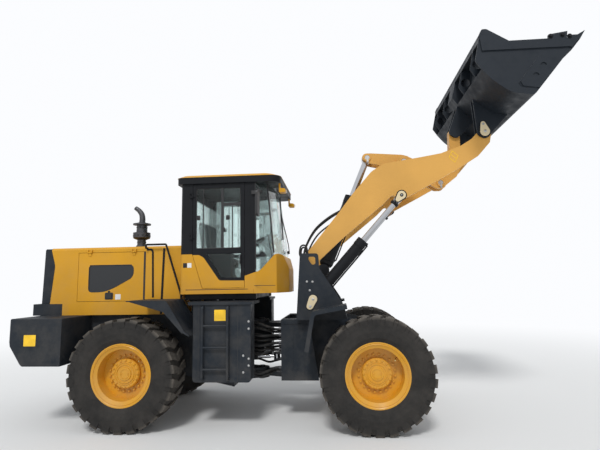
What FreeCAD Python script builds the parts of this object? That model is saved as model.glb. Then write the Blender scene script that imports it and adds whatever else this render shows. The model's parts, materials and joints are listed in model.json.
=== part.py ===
import FreeCAD, Part
import math
import operator
import os

import Sketcher
from FreeCAD import Rotation, Vector

# Articulated wheel loader with a raised bucket.
# X runs forward from the articulation pivot, Y to the machine's left, Z up from the ground.
# The whole machine is then moved by shift_x, so that the origin lies under its middle.

doc = FreeCAD.newDocument("wheel_loader")
sheet = doc.addObject("Spreadsheet::Sheet", "dims")

SIZES = [
    # overall
    ("shift_x", -498.0),
    ("wheelbase", 3040.0),
    ("track", 1850.0),
    ("pin_gap", 0.4),
    ("seat_gap", 0.3),
    ("side_gap", 6.0),
    ("panel_gap", 5.0),
    # wheels
    ("tyre_radius", 665.0),
    ("tyre_width", 445.0),
    ("tread_width", 400.0),
    ("lug_height", 30.0),
    ("lug_lead", 62.0),
    ("bead_radius", 318.0),
    ("rim_width", 364.0),
    ("flange_radius", 374.0),
    ("flange_wall", 20.0),
    ("rim_wall", 15.0),
    ("disc_wall", 22.0),
    ("hub_radius", 178.0),
    ("hub_recess", 120.0),
    ("hub_cap_radius", 76.0),
    ("hub_cap_rise", 12.0),
    ("spindle_radius", 70.0),
    ("spindle_reach", 80.0),
    # axles
    ("axle_bowl_radius", 205.0),
    ("axle_bowl_width", 330.0),
    ("axle_tube_radius", 92.0),
    ("brake_radius", 160.0),
    ("brake_width", 75.0),
    ("axle_pad_half", 95.0),
    # rear frame
    ("frame_half", 420.0),
    ("frame_wall", 25.0),
    ("frame_top", 1342.0),
    ("frame_nose", -300.0),
    ("frame_low", 470.0),
    ("frame_step", -950.0),
    ("arch_low", 885.0),
    ("tail_low", 880.0),
    # articulation
    ("hinge_pin_radius", 45.0),
    ("ear_radius", 105.0),
    ("ear_wall", 32.0),
    ("tongue_wall", 60.0),
    ("upper_hinge_z", 1160.0),
    ("lower_hinge_z", 505.0),
    ("ear_root_half", 240.0),
    # counterweight
    ("weight_half", 1100.0),
    ("weight_gap", 108.0),
    ("weight_length", 650.0),
    ("weight_low", 770.0),
    # hood
    ("hood_half", 520.0),
    ("hood_wall", 22.0),
    ("hood_top", 2260.0),
    ("hood_bevel", 32.0),
    ("hood_tail", -2868.0),
    ("hood_waist", -2798.0),
    ("hood_waist_z", 2016.0),
    ("hood_foot", -2848.0),
    ("hood_notch", -2668.0),
    ("hood_notch_z", 1497.0),
    ("hood_front", -1010.0),
    ("door_tail", -2465.0),
    ("door_front", -1505.0),
    ("door_low", 1521.0),
    ("door_top", 2190.0),
    # rear grille, radiator, engine and exhaust
    ("grille_half", 455.0),
    ("grille_tail", -3000.0),
    ("grille_rim", 60.0),
    ("grille_bar", 16.0),
    ("tail_box_tail", -3085.0),
    ("engine_tail", -2240.0),
    ("engine_front", -1350.0),
    ("engine_half", 300.0),
    ("engine_low", 960.0),
    ("engine_top", 1900.0),
    ("stack_x", -1740.0),
    ("stack_y", -150.0),
    ("stack_base_radius", 92.0),
    ("stack_neck_radius", 60.0),
    ("stack_collar_radius", 120.0),
    ("stack_brim_radius", 124.0),
    ("stack_pipe_radius", 36.0),
    ("stack_collar_z", 2405.0),
    ("stack_brim_z", 2604.0),
    ("stack_tip_z", 2858.0),
    # cab
    ("cab_half", 720.0),
    ("cab_wall", 45.0),
    ("cab_tail", -960.0),
    ("cab_post", 40.0),
    ("cab_floor_z", 1605.0),
    ("floor_wall", 45.0),
    ("cab_belt", 2121.0),
    ("cab_head", 3055.0),
    ("cowl_tail", 320.0),
    ("nose_front", 432.0),
    ("nose_mid_half", 300.0),
    ("nose_corner_x", 300.0),
    ("nose_corner_half", 600.0),
    ("glass_wall", 8.0),
    ("screen_low_front", 362.0),
    ("screen_top_front", 246.0),
    ("screen_low_corner", 262.0),
    ("screen_top_corner", 182.0),
    ("roof_tail", -1020.0),
    ("roof_front", 380.0),
    ("roof_overhang", 32.0),
    ("visor_z", 3140.0),
    ("roof_z", 3178.0),
    ("side_door_tail", -795.0),
    ("side_door_front", -98.0),
    ("door_sill_z", 1675.0),
    ("door_sill_tail", -657.0),
    ("door_pin_radius", 6.0),
    ("door_eye_radius", 11.0),
    ("door_hinge_out", 12.0),
    ("door_eye_length", 40.0),
    ("door_wall", 40.0),
    ("window_low_z", 2190.0),
    # seat and controls
    ("seat_x", -560.0),
    ("seat_top", 2080.0),
    ("wheel_x", -30.0),
    ("wheel_z", 2330.0),
    ("wheel_ring_radius", 200.0),
    ("wheel_ring_wall", 14.0),
    # steps and tanks
    ("tank_gap", 174.0),
    ("tank_front", 30.0),
    ("tank_low", 563.0),
    ("tank_top", 1480.0),
    ("tank_inner", 745.0),
    ("tank_outer", 985.0),
    ("platform_wall", 34.0),
    ("step_tail", -556.0),
    ("step_front", -245.0),
    ("rail_radius", 17.0),
    ("rung_radius", 13.0),
    # fenders
    ("fender_wall", 12.0),
    ("rear_fender_reach", 880.0),
    ("front_fender_reach", 865.0),
    ("fender_flange", 48.0),
    ("fender_inner", 535.0),
    ("fender_outer", 1130.0),
    # front frame and tower
    ("tower_inner", 410.0),
    ("tower_wall", 22.0),
    ("tower_outer", 702.0),
    ("front_plate_half", 580.0),
    ("front_tail", 346.0),
    ("front_low", 501.0),
    ("front_deck_z", 1262.0),
    ("front_arch_low", 880.0),
    ("front_nose", 1880.0),
    ("tower_top", 2103.0),
    # pins of the lift linkage
    ("boom_x", 705.0),
    ("boom_z", 1960.0),
    ("bucket_x", 3068.0),
    ("bucket_z", 3655.0),
    ("lift_base_x", 775.0),
    ("lift_base_z", 1520.0),
    ("lift_eye_x", 1945.0),
    ("lift_eye_z", 2830.0),
    ("tilt_base_x", 895.0),
    ("tilt_base_z", 1904.0),
    ("tilt_eye_x", 1563.0),
    ("tilt_eye_z", 3498.0),
    ("crank_x", 2073.0),
    ("crank_z", 3405.0),
    ("link_low_x", 2575.0),
    ("link_low_z", 3093.0),
    ("link_top_x", 2816.0),
    ("link_top_z", 3817.0),
    ("pin_radius", 42.0),
    # boom
    ("arm_outer", 520.0),
    ("arm_wall", 50.0),
    ("cross_x", 1985.0),
    ("cross_z", 3095.0),
    ("cross_radius", 115.0),
    ("crank_inner", 62.0),
    ("crank_wall", 40.0),
    ("bracket_wall", 34.0),
    # hydraulic cylinders
    ("lift_barrel_radius", 70.0),
    ("gland_rise", 5.0),
    ("lift_rod_radius", 35.0),
    ("lift_barrel_length", 990.0),
    ("lift_rod_length", 985.0),
    ("tilt_barrel_radius", 98.0),
    ("tilt_rod_radius", 45.0),
    ("tilt_barrel_length", 1130.0),
    ("tilt_rod_length", 1010.0),
    ("steer_barrel_radius", 43.0),
    ("steer_rod_radius", 22.0),
    ("steer_z", 760.0),
    ("steer_base_x", -450.0),
    ("steer_base_y", 330.0),
    ("steer_eye_x", 250.0),
    ("steer_eye_y", 270.0),
    ("steer_barrel_length", 446.0),
    ("steer_rod_length", 450.0),
    ("steer_pin_radius", 20.0),
    ("steer_eye_half", 28.0),
    # bucket
    ("bucket_half", 1230.0),
    ("bucket_wall", 22.0),
    ("ear_gap", 6.0),
    ("bucket_ear_wall", 26.0),
    ("rim_strip_wall", 16.0),
    ("wear_plate_wall", 10.0),
    ("gusset_wall", 12.0),
    ("gusset_near", 465.0),
    ("gusset_far", 985.0),
    ("gusset_hole_radius", 60.0),
    ("beam_block_half", 130.0),
]


class Size:
    """A length that keeps its formula beside its value."""

    def __init__(self, text, value):
        self.text = text
        self.value = float(value)

    def __add__(self, other):
        return joined(self, "+", other)

    def __radd__(self, other):
        return joined(other, "+", self)

    def __sub__(self, other):
        return joined(self, "-", other)

    def __rsub__(self, other):
        return joined(other, "-", self)

    def __mul__(self, other):
        return joined(self, "*", other)

    def __rmul__(self, other):
        return joined(other, "*", self)

    def __truediv__(self, other):
        return joined(self, "/", other)

    def __neg__(self):
        return joined(0, "-", self)


SIGNS = {"+": operator.add, "-": operator.sub, "*": operator.mul, "/": operator.truediv}


def as_size(number):
    if isinstance(number, Size):
        return number
    return Size(f"({float(number):.6f})", number)


def joined(first, sign, second):
    first = as_size(first)
    second = as_size(second)
    text = f"({first.text} {sign} {second.text})"
    return Size(text, SIGNS[sign](first.value, second.value))


class Named:
    """The cells of the sheet, each as a Size under its own name."""


d = Named()
for row, (name, value) in enumerate(SIZES, start=1):
    sheet.set(f"A{row}", name)
    sheet.set(f"B{row}", str(value))
    sheet.setAlias(f"B{row}", name)
    setattr(d, name, Size("dims." + name, value))
doc.recompute()

# Places that follow from the sizes.
d.rear_axle_x = -d.wheelbase / 2
d.front_axle_x = d.wheelbase / 2
d.weight_front = d.rear_axle_x - d.tyre_radius - d.weight_gap
d.weight_tail = d.weight_front - d.weight_length
d.tank_tail = d.rear_axle_x + d.tyre_radius + d.tank_gap
d.roof_half = d.cab_half + d.roof_overhang
d.rear_fender_top = d.tyre_radius + d.rear_fender_reach


def bind(item, path, amount):
    item.setExpression(path, as_size(amount).text)


# Sketches: closed loops whose corners are tied to the sheet.
# A loop is a list of corners (across, up) or (across, up, round), or one circle
# ("circle", across, up, radius).

def corner_points(loop):
    """Corner, entry and exit point, arc centre and radius for each corner of a loop."""
    found = []
    count = len(loop)
    places = [Vector(as_size(p[0]).value, as_size(p[1]).value, 0) for p in loop]
    for i, point in enumerate(loop):
        here = places[i]
        radius = as_size(point[2]).value if len(point) > 2 else 0.0
        if radius <= 0:
            found.append((here, here, here, None, 0.0))
            continue
        back = (places[i - 1] - here).normalize()
        ahead = (places[(i + 1) % count] - here).normalize()
        half = back.getAngle(ahead) / 2
        run = radius / math.tan(half)
        middle = (back + ahead).normalize() * (radius / math.sin(half))
        found.append((here, here + back * run, here + ahead * run, here + middle, radius))
    return found


def place_point(sketch, item, end, point):
    """Ties one point to its two coordinates."""
    for kind, axis, amount in (("DistanceX", -2, point[0]), ("DistanceY", -1, point[1])):
        amount = as_size(amount)
        if abs(amount.value) < 1e-9:
            sketch.addConstraint(Sketcher.Constraint("PointOnObject", item, end, axis))
            continue
        index = sketch.addConstraint(Sketcher.Constraint(kind, -1, 1, item, end, amount.value))
        bind(sketch, f"Constraints[{index}]", amount)


def draw_circle(sketch, across, up, radius):
    centre = Vector(as_size(across).value, as_size(up).value, 0)
    circle = Part.Circle(centre, Vector(0, 0, 1), as_size(radius).value)
    item = sketch.addGeometry(circle, False)
    place_point(sketch, item, 3, (across, up))
    index = sketch.addConstraint(Sketcher.Constraint("Radius", item, as_size(radius).value))
    bind(sketch, f"Constraints[{index}]", radius)


def draw_loop(sketch, loop):
    """Adds one closed loop of straight runs and tangent corner arcs."""
    if loop[0] == "circle":
        draw_circle(sketch, *loop[1:])
        return
    corners = corner_points(loop)
    count = len(corners)
    lines = []
    for i in range(count):
        start = corners[i][2]
        end = corners[(i + 1) % count][1]
        lines.append(sketch.addGeometry(Part.LineSegment(start, end), False))
    for i, (here, entry, leave, centre, radius) in enumerate(corners):
        before = lines[i - 1]
        after = lines[i]
        if centre is None:
            sketch.addConstraint(Sketcher.Constraint("Coincident", before, 2, after, 1))
            place_point(sketch, after, 1, loop[i])
            continue
        first = math.atan2(entry.y - centre.y, entry.x - centre.x)
        last = math.atan2(leave.y - centre.y, leave.x - centre.x)
        circle = Part.Circle(centre, Vector(0, 0, 1), radius)
        turns_left = (here - entry).cross(leave - here).z > 0
        if turns_left:
            arc = sketch.addGeometry(Part.ArcOfCircle(circle, first, last), False)
            entry_end, leave_end = 1, 2
        else:
            arc = sketch.addGeometry(Part.ArcOfCircle(circle, last, first), False)
            entry_end, leave_end = 2, 1
        mark = sketch.addGeometry(Part.Point(here), True)
        place_point(sketch, mark, 1, loop[i])
        sketch.addConstraint(Sketcher.Constraint("PointOnObject", mark, 1, before))
        sketch.addConstraint(Sketcher.Constraint("PointOnObject", mark, 1, after))
        sketch.addConstraint(Sketcher.Constraint("Tangent", before, 2, arc, entry_end))
        sketch.addConstraint(Sketcher.Constraint("Tangent", arc, leave_end, after, 1))
        index = sketch.addConstraint(Sketcher.Constraint("Radius", arc, radius))
        bind(sketch, f"Constraints[{index}]", loop[i][2])


def inset(loop, wall, open_sides=()):
    """The same loop moved inwards by the wall; sides in open_sides stay where they are."""
    places = [Vector(as_size(p[0]).value, as_size(p[1]).value, 0) for p in loop]
    count = len(places)
    area = sum(places[i - 1].cross(places[i]).z for i in range(count))
    turn = 1 if area > 0 else -1
    moved = []
    for i, point in enumerate(loop):
        before = (places[i] - places[i - 1]).normalize()
        after = (places[(i + 1) % count] - places[i]).normalize()
        left_before = Vector(-before.y, before.x, 0) * turn
        left_after = Vector(-after.y, after.x, 0) * turn
        step_before = 0 if (i - 1) % count in open_sides else 1
        step_after = 0 if i in open_sides else 1
        cross = before.cross(after).z
        if abs(cross) < 1e-6:
            shift = left_before * step_before
        else:
            along = (step_after - step_before * left_before.dot(left_after)) / before.dot(left_after)
            shift = left_before * step_before + before * along
        corner = [as_size(point[0]) + as_size(wall) * shift.x, as_size(point[1]) + as_size(wall) * shift.y]
        if len(point) > 2:
            smaller = cross * turn > 0
            rounding = as_size(point[2]) - wall if smaller else as_size(point[2]) + wall
            if rounding.value > 0.5:
                corner.append(rounding)
        moved.append(tuple(corner))
    return moved


# Bodies and their features.
# Sketch axes: "side" is X across and Z up, "end" is Y across and Z up, "plan" is X across and Y up.

PLANES = {"side": "XZ_Plane", "end": "YZ_Plane", "plan": "XY_Plane"}
NODES = []


def new_body(name, x=0, y=0, z=0, turn_axis=None, turn_angle=0):
    """A body at a place given from the pivot, turned about one axis if need be."""
    body = doc.addObject("PartDesign::Body", name)
    body.Label = name
    body.AllowCompound = True
    if turn_axis is not None:
        body.Placement = FreeCAD.Placement(Vector(0, 0, 0), Rotation(turn_axis, as_size(turn_angle).value))
        bind(body, "Placement.Rotation.Angle", turn_angle)
    bind(body, "Placement.Base.x", d.shift_x + x)
    bind(body, "Placement.Base.y", y)
    bind(body, "Placement.Base.z", z)
    NODES.append(body)
    return body


def new_sketch(body, name, plane, loops, offset):
    sketch = body.newObject("Sketcher::SketchObject", name)
    role = PLANES[plane]
    support = [item for item in body.Origin.OriginFeatures if item.Role == role][0]
    sketch.AttachmentSupport = [(support, "")]
    sketch.MapMode = "FlatFace"
    bind(sketch, "AttachmentOffset.Base.z", offset)
    for loop in loops:
        draw_loop(sketch, loop)
    return sketch


def pad(body, name, plane, loops, low, high):
    """Material between two heights along the plane's own axis."""
    start = -as_size(high) if plane == "side" else as_size(low)
    sketch = new_sketch(body, name + "_outline", plane, loops, start)
    feature = body.newObject("PartDesign::Pad", name)
    feature.Profile = sketch
    bind(feature, "Length", as_size(high) - low)
    return feature


def pocket(body, name, plane, loops, low, high):
    """A cut between two heights along the plane's own axis."""
    doc.recompute()
    start = -as_size(low) if plane == "side" else as_size(high)
    sketch = new_sketch(body, name + "_outline", plane, loops, start)
    before = body.Tip.Shape.Volume
    feature = body.newObject("PartDesign::Pocket", name)
    feature.Profile = sketch
    bind(feature, "Length", as_size(high) - low)
    doc.recompute()
    if feature.Shape.isNull() or feature.Shape.Volume > before - 1:
        raise ValueError(f"{name} cuts nothing")
    return feature


def turned(body, name, plane, loops, axis="H_Axis"):
    """A solid of revolution about one axis of its own sketch."""
    sketch = new_sketch(body, name + "_outline", plane, loops, 0)
    feature = body.newObject("PartDesign::Revolution", name)
    feature.Profile = sketch
    feature.ReferenceAxis = (sketch, [axis])
    feature.Angle = 360
    return feature


def lofted(body, name, plane, sections):
    """A ruled loft through sections, each a loop and its height."""
    sketches = []
    for i, (loop, height) in enumerate(sections):
        sketches.append(new_sketch(body, f"{name}_section_{i}", plane, [loop], height))
    feature = body.newObject("PartDesign::AdditiveLoft", name)
    feature.Profile = sketches[0]
    feature.Sections = sketches[1:]
    feature.Ruled = True
    return feature


def mirrored(body, name, features, plane="side"):
    """The same features on the other side of one of the body's planes."""
    feature = body.newObject("PartDesign::Mirrored", name)
    role = PLANES[plane]
    support = [item for item in body.Origin.OriginFeatures if item.Role == role][0]
    feature.Originals = features
    feature.MirrorPlane = (support, [""])
    body.Tip = feature
    return feature


def around(body, name, features, count, axis):
    """The features repeated evenly about one axis of the body."""
    feature = body.newObject("PartDesign::PolarPattern", name)
    support = [item for item in body.Origin.OriginFeatures if item.Role == axis][0]
    feature.Originals = features
    feature.Axis = (support, [""])
    feature.Angle = 360
    feature.Occurrences = count
    body.Tip = feature
    return feature


def box(left, right, low, high):
    return [(left, low), (right, low), (right, high), (left, high)]


def disc(across, up, radius):
    return ("circle", across, up, radius)


def tube_shape(points, radius, bend):
    """A round tube along straight runs joined by tangent arcs."""
    places = [Vector(*[as_size(c).value for c in point]) for point in points]
    edges = []
    start = places[0]
    for i in range(1, len(places) - 1):
        back = (places[i - 1] - places[i]).normalize()
        ahead = (places[i + 1] - places[i]).normalize()
        half = back.getAngle(ahead) / 2
        run = bend / math.tan(half)
        centre = places[i] + (back + ahead).normalize() * (bend / math.sin(half))
        entry = places[i] + back * run
        leave = places[i] + ahead * run
        middle = centre + (places[i] - centre).normalize() * bend
        edges.append(Part.LineSegment(start, entry).toShape())
        edges.append(Part.Arc(entry, middle, leave).toShape())
        start = leave
    edges.append(Part.LineSegment(start, places[-1]).toShape())
    path = Part.Wire(edges)
    heading = (places[1] - places[0]).normalize()
    ring = Part.Wire([Part.Circle(places[0], heading, radius).toShape()])
    return path.makePipeShell([ring], True, False)


def tube_node(name, tubes):
    """One node of separate or joined round tubes; each has its points, radius and bend."""
    shapes = [tube_shape(points, as_size(radius).value, as_size(bend).value) for points, radius, bend in tubes]
    feature = doc.addObject("Part::Feature", name)
    feature.Label = name
    feature.Shape = shapes[0] if len(shapes) == 1 else shapes[0].multiFuse(shapes[1:])
    bind(feature, "Placement.Base.x", d.shift_x)
    NODES.append(feature)
    return feature


def both_sides(tubes):
    """The tubes and their mirror images across the machine's middle plane."""
    pairs = []
    for points, radius, bend in tubes:
        pairs.append((points, radius, bend))
        pairs.append(([(x, -as_size(y), z) for x, y, z in points], radius, bend))
    return pairs


def line_angle(x0, z0, x1, z1):
    """Angle of a line in the side view, as a Size in degrees."""
    rise = z1 - z0
    run = x1 - x0
    value = math.degrees(math.atan2(rise.value, run.value))
    return Size(f"atan2({rise.text}; {run.text})", value)


# Rear frame

def make_rear_frame():
    """Two side plates joined by bulkheads, with the rear ears of both hinges."""
    body = new_body("rear_frame")
    arch_tail = d.rear_axle_x - d.axle_bowl_radius - 60
    arch_front = d.rear_axle_x + d.axle_bowl_radius + 60
    tail = d.weight_front + d.seat_gap
    plate = [
        (tail, d.tail_low), (arch_tail, d.arch_low), (arch_front, d.arch_low),
        (d.frame_step, d.frame_low + 60, 60), (d.frame_nose, d.frame_low - 80),
        (d.frame_nose, d.frame_top), (tail, d.frame_top),
    ]
    side = pad(body, "side_plate", "side", [plate], d.frame_half - d.frame_wall, d.frame_half)
    mirrored(body, "other_side_plate", [side])
    inner = d.frame_half - d.frame_wall / 2
    pad(body, "hinge_bulkhead", "end", [box(-inner, inner, d.frame_low - 80, d.frame_top)],
        d.frame_nose - d.frame_wall, d.frame_nose)
    pad(body, "tail_bulkhead", "end", [box(-inner, inner, d.tail_low, d.frame_top)],
        tail, tail + d.frame_wall)
    pad(body, "axle_saddle", "plan",
        [box(d.rear_axle_x - d.axle_pad_half, d.rear_axle_x + d.axle_pad_half, -inner, inner)],
        d.arch_low, d.arch_low + 30)
    ear = [
        (d.frame_nose - d.frame_wall / 2, -d.ear_root_half), (-d.ear_radius * 0.4, -d.ear_radius),
        (d.ear_radius, -d.ear_radius, d.ear_radius * 0.98),
        (d.ear_radius, d.ear_radius, d.ear_radius * 0.98), (-d.ear_radius * 0.4, d.ear_radius),
        (d.frame_nose - d.frame_wall / 2, d.ear_root_half),
    ]
    half_gap = d.tongue_wall / 2 + d.side_gap
    for name, level in (("upper", d.upper_hinge_z), ("lower", d.lower_hinge_z)):
        pad(body, name + "_ear_over", "plan", [ear], level + half_gap, level + half_gap + d.ear_wall)
        pad(body, name + "_ear_under", "plan", [ear], level - half_gap - d.ear_wall, level - half_gap)
        pad(body, name + "_pin", "plan", [disc(0, 0, d.hinge_pin_radius)],
            level - half_gap - d.ear_wall - 18, level + half_gap + d.ear_wall + 18)
    mounts = []
    for along in (d.cab_tail + 80, d.frame_nose - 110):
        mounts.append(box(along, along + 100, d.frame_half - 75, d.frame_half + 30))
    mount = pad(body, "cab_mounts", "plan", mounts, d.frame_top - 5, d.cab_floor_z - d.seat_gap)
    lug = [
        (d.steer_base_x - 60, inner), (d.steer_base_x - 36, d.steer_base_y - 44, 30),
        (d.steer_base_x + 32, d.steer_base_y - 44, 30), (d.steer_base_x + 32, inner),
    ]
    clear = d.steer_eye_half + d.side_gap / 2
    over = pad(body, "lug_over", "plan", [lug], d.steer_z + clear, d.steer_z + clear + 18)
    under = pad(body, "lug_under", "plan", [lug], d.steer_z - clear - 18, d.steer_z - clear)
    pin = pad(body, "steer_pin", "plan", [disc(d.steer_base_x, d.steer_base_y, d.steer_pin_radius)],
              d.steer_z - clear - 26, d.steer_z + clear + 26)
    mirrored(body, "other_lugs", [mount, over, under, pin])
    port = box(d.steer_base_y - d.steer_barrel_radius - 60, d.frame_half - d.frame_wall,
               d.steer_z - d.steer_barrel_radius - 15, d.steer_z + d.steer_barrel_radius + 15)
    other = [(-as_size(p[0]), p[1]) for p in port]
    pocket(body, "cylinder_ports", "end", [port, other], d.frame_nose - d.frame_wall - 2, d.frame_nose + 2)
    return body


def make_counterweight():
    """Cast block behind the rear wheels, with a sloped tail foot and cut plan corners."""
    body = new_body("counterweight")
    side = [
        (d.weight_front, d.weight_low), (d.weight_tail + 163, d.weight_low, 40),
        (d.weight_tail, d.weight_low + 256, 60), (d.weight_tail, d.frame_top, 15),
        (d.weight_front, d.frame_top, 15),
    ]
    pad(body, "block", "side", [side], -d.weight_half, d.weight_half)
    corner = [
        (d.weight_tail - 20, d.weight_half - 150), (d.weight_tail + 150, d.weight_half + 20),
        (d.weight_tail - 20, d.weight_half + 20),
    ]
    mate = [(x, -as_size(y)) for x, y in corner]
    pocket(body, "tail_corners", "plan", [corner, mate], d.weight_low - 10, d.frame_top + 10)
    return body


def lug_loop(edge, face, sign):
    """Hinge lug: edge runs along the wall, away from the door; face is the wall's outer face."""
    out = d.door_eye_radius
    middle = face + d.door_hinge_out
    round_end = out - 0.1
    loop = [
        (edge - 45, face - 5), (edge - 5, face - 5), (edge - 5, middle - out),
        (edge + out, middle - out, round_end), (edge + out, middle + out, round_end),
        (edge - 25, middle + out, 10),
    ]
    return [(p[0], as_size(p[1]) * sign, *p[2:]) for p in loop]


def eye_loops(edge, face, sign):
    """Door's half of a hinge: an eye round the pin and a strap on the door's face."""
    middle = (face + d.door_hinge_out) * sign
    eye = [disc(edge, middle, d.door_eye_radius), disc(edge, middle, d.door_pin_radius + d.pin_gap)]
    strap = [
        (edge + d.door_pin_radius + 2, (face - 3) * sign), (edge + 50, (face - 3) * sign),
        (edge + 50, (face + 6) * sign), (edge + d.door_pin_radius + 2, (face + d.door_hinge_out) * sign),
    ]
    return eye, strap


def add_lugs(body, name, plane, edge, face, sign, starts, swap=False):
    """Lugs above and below each eye, and the pin that joins them."""
    loop = lug_loop(edge, face, sign)
    pin = disc(edge, (face + d.door_hinge_out) * sign, d.door_pin_radius)
    if swap:
        loop = [(p[1], -as_size(p[0]), *p[2:]) for p in loop]
        pin = disc(pin[2], -as_size(pin[1]), pin[3])
    features = []
    for i, start in enumerate(starts):
        end = start + d.door_eye_length
        features.append(pad(body, f"{name}_lug_{i}", plane, [loop], start - 13, start - 1))
        features.append(pad(body, f"{name}_lug_{i}_far", plane, [loop], end + 1, end + 13))
        features.append(pad(body, f"{name}_pin_{i}", plane, [pin], start - 13, end + 13))
    return features


def add_eyes(body, name, plane, edge, face, sign, starts, swap=False):
    eye, strap = eye_loops(edge, face, sign)
    if swap:
        eye = [disc(circle[2], -as_size(circle[1]), circle[3]) for circle in eye]
        strap = [(p[1], -as_size(p[0])) for p in strap]
    for i, start in enumerate(starts):
        end = start + d.door_eye_length
        pad(body, f"{name}_strap_{i}", plane, [strap], start, end)
        pad(body, f"{name}_eye_{i}", plane, eye, start, end)


HOOD_HINGES = (-2320.0, -1690.0)
CAB_HINGES = (2330.0, 2880.0)


def hood_outline():
    return [
        (d.hood_front, (d.frame_top + d.seat_gap)), (d.hood_front, d.hood_top), (d.hood_tail, d.hood_top),
        (d.hood_waist, d.hood_waist_z, 200), (d.hood_foot, d.hood_notch_z),
        (d.hood_notch, d.hood_notch_z), (d.hood_notch, (d.frame_top + d.seat_gap)),
    ]


def hood_door_outline(gap):
    return box(d.door_tail + gap, d.door_front - gap, d.door_low + gap, d.door_top - gap)


def make_hood():
    """Open-bottomed engine cover with a doorway in each side."""
    body = new_body("hood")
    outline = hood_outline()
    pad(body, "cover", "side", [outline], -d.hood_half, d.hood_half)
    hollow = inset(outline, d.hood_wall)
    pocket(body, "hollow", "side", [hollow], -d.hood_half + d.hood_wall, d.hood_half - d.hood_wall)
    pocket(body, "doorways", "side", [hood_door_outline(0)], -d.hood_half - 5, d.hood_half + 5)
    pocket(body, "open_floor", "plan",
           [box(d.hood_notch + 60, d.hood_front - 60, -d.frame_half + 20, d.frame_half - 20)],
           (d.frame_top + d.seat_gap) - 5, (d.frame_top + d.seat_gap) + d.hood_wall + 5)
    pocket(body, "open_tail", "end",
           [box(-d.grille_half + 70, d.grille_half - 70, d.hood_notch_z + 90, d.hood_top - 110)],
           d.hood_tail - 5, d.hood_waist + d.hood_wall + 20)
    corner = [
        (d.hood_half - d.hood_bevel, d.hood_top + 1), (d.hood_half + 1, d.hood_top + 1),
        (d.hood_half + 1, d.hood_top - d.hood_bevel),
    ]
    pocket(body, "top_bevels", "end", [corner, [(-as_size(y), z) for y, z in corner]],
           d.hood_tail - 10, d.hood_front + 10)
    for side, sign in (("right", -1), ("left", 1)):
        add_lugs(body, side, "end", -d.door_top, d.hood_half, sign, HOOD_HINGES, swap=True)
    return body


def vent_outline(gap):
    """Louvre window of the hood door, with its slanted lower edge."""
    return [
        (-2305 + gap, 1652 + gap, 30), (-2100, 1652 + gap, 60), (-1954, 1700 + gap, 60),
        (-1676 - gap, 1850 + gap, 40), (-1676 - gap, 2010 - gap, 30), (-2305 + gap, 2012 - gap, 30),
    ]


def make_hood_door(name, side):
    """Gull-wing side panel with its louvre window, hinged along its top edge."""
    body = new_body(name)
    low, high = (-d.hood_half, -d.hood_half + d.hood_wall)
    if side > 0:
        low, high = (d.hood_half - d.hood_wall, d.hood_half)
    pad(body, "panel", "side", [hood_door_outline(d.panel_gap), vent_outline(0)], low, high)
    add_eyes(body, "hinge", "end", -d.door_top, d.hood_half, side, HOOD_HINGES, swap=True)
    return body


def make_hood_vent(name, side):
    """Black louvre set into the window of a hood door."""
    body = new_body(name)
    low, high = (-d.hood_half + 4, -d.hood_half + d.hood_wall)
    if side > 0:
        low, high = (d.hood_half - d.hood_wall, d.hood_half - 4)
    pad(body, "louvre", "side", [vent_outline(d.seat_gap)], low, high)
    return body


def make_rear_grille():
    """Radiator surround with horizontal bars, and the dark box below it."""
    body = new_body("rear_grille")
    seat = d.seat_gap
    low = d.hood_notch_z - seat - 1
    side = [
        (d.grille_tail - 10, low), (d.grille_tail + 8, d.hood_top - 4, 20), (d.hood_tail - seat, d.hood_top - 4),
        (d.hood_waist - seat, d.hood_waist_z, 200), (d.hood_foot - seat, low),
    ]
    pad(body, "surround", "side", [side], -d.grille_half, d.grille_half)
    window = box(-d.grille_half + d.grille_rim, d.grille_half - d.grille_rim, low + d.grille_rim,
                 d.hood_top - 4 - d.grille_rim)
    pocket(body, "throat", "end", [window], d.grille_tail - 20, d.hood_waist + 10)
    pitch = 92.0
    bars = []
    for i in range(7):
        level = d.hood_notch_z + d.grille_rim + 45 + pitch * i
        bars.append(box(-d.grille_half + d.grille_rim / 2, d.grille_half - d.grille_rim / 2,
                        level, level + d.grille_bar))
    pad(body, "bars", "end", bars, d.grille_tail + 15, d.grille_tail + 50)
    pad(body, "lower_box", "end",
        [box(-d.hood_half, d.hood_half, d.frame_top + d.seat_gap, d.hood_notch_z - d.seat_gap)],
        d.tail_box_tail, d.hood_notch - d.seat_gap)
    return body


def make_radiator():
    body = new_body("radiator")
    pad(body, "core", "end",
        [box(-d.grille_half + 40, d.grille_half - 40, d.frame_top + d.seat_gap + 60, d.hood_top - 160)],
        d.hood_notch + 60, d.hood_notch + 160)
    pad(body, "feet", "end",
        [box(-d.grille_half + 60, -d.grille_half + 160, d.frame_top + d.seat_gap, d.frame_top + 100),
         box(d.grille_half - 160, d.grille_half - 60, d.frame_top + d.seat_gap, d.frame_top + 100)],
        d.hood_notch + 60, d.hood_notch + 160)
    return body


def make_engine():
    body = new_body("engine")
    pad(body, "block", "side",
        [box(d.engine_tail, d.engine_front, d.engine_low, d.engine_top)], -d.engine_half, d.engine_half)
    rails = []
    for along in (d.engine_tail + 60, d.engine_front - 220):
        rails.append(box(along, along + 120, -d.frame_half + d.frame_wall + d.seat_gap,
                         d.frame_half - d.frame_wall - d.seat_gap))
    pad(body, "mounts", "plan", rails, d.engine_low + 60, d.engine_low + 140)
    return body


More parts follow.
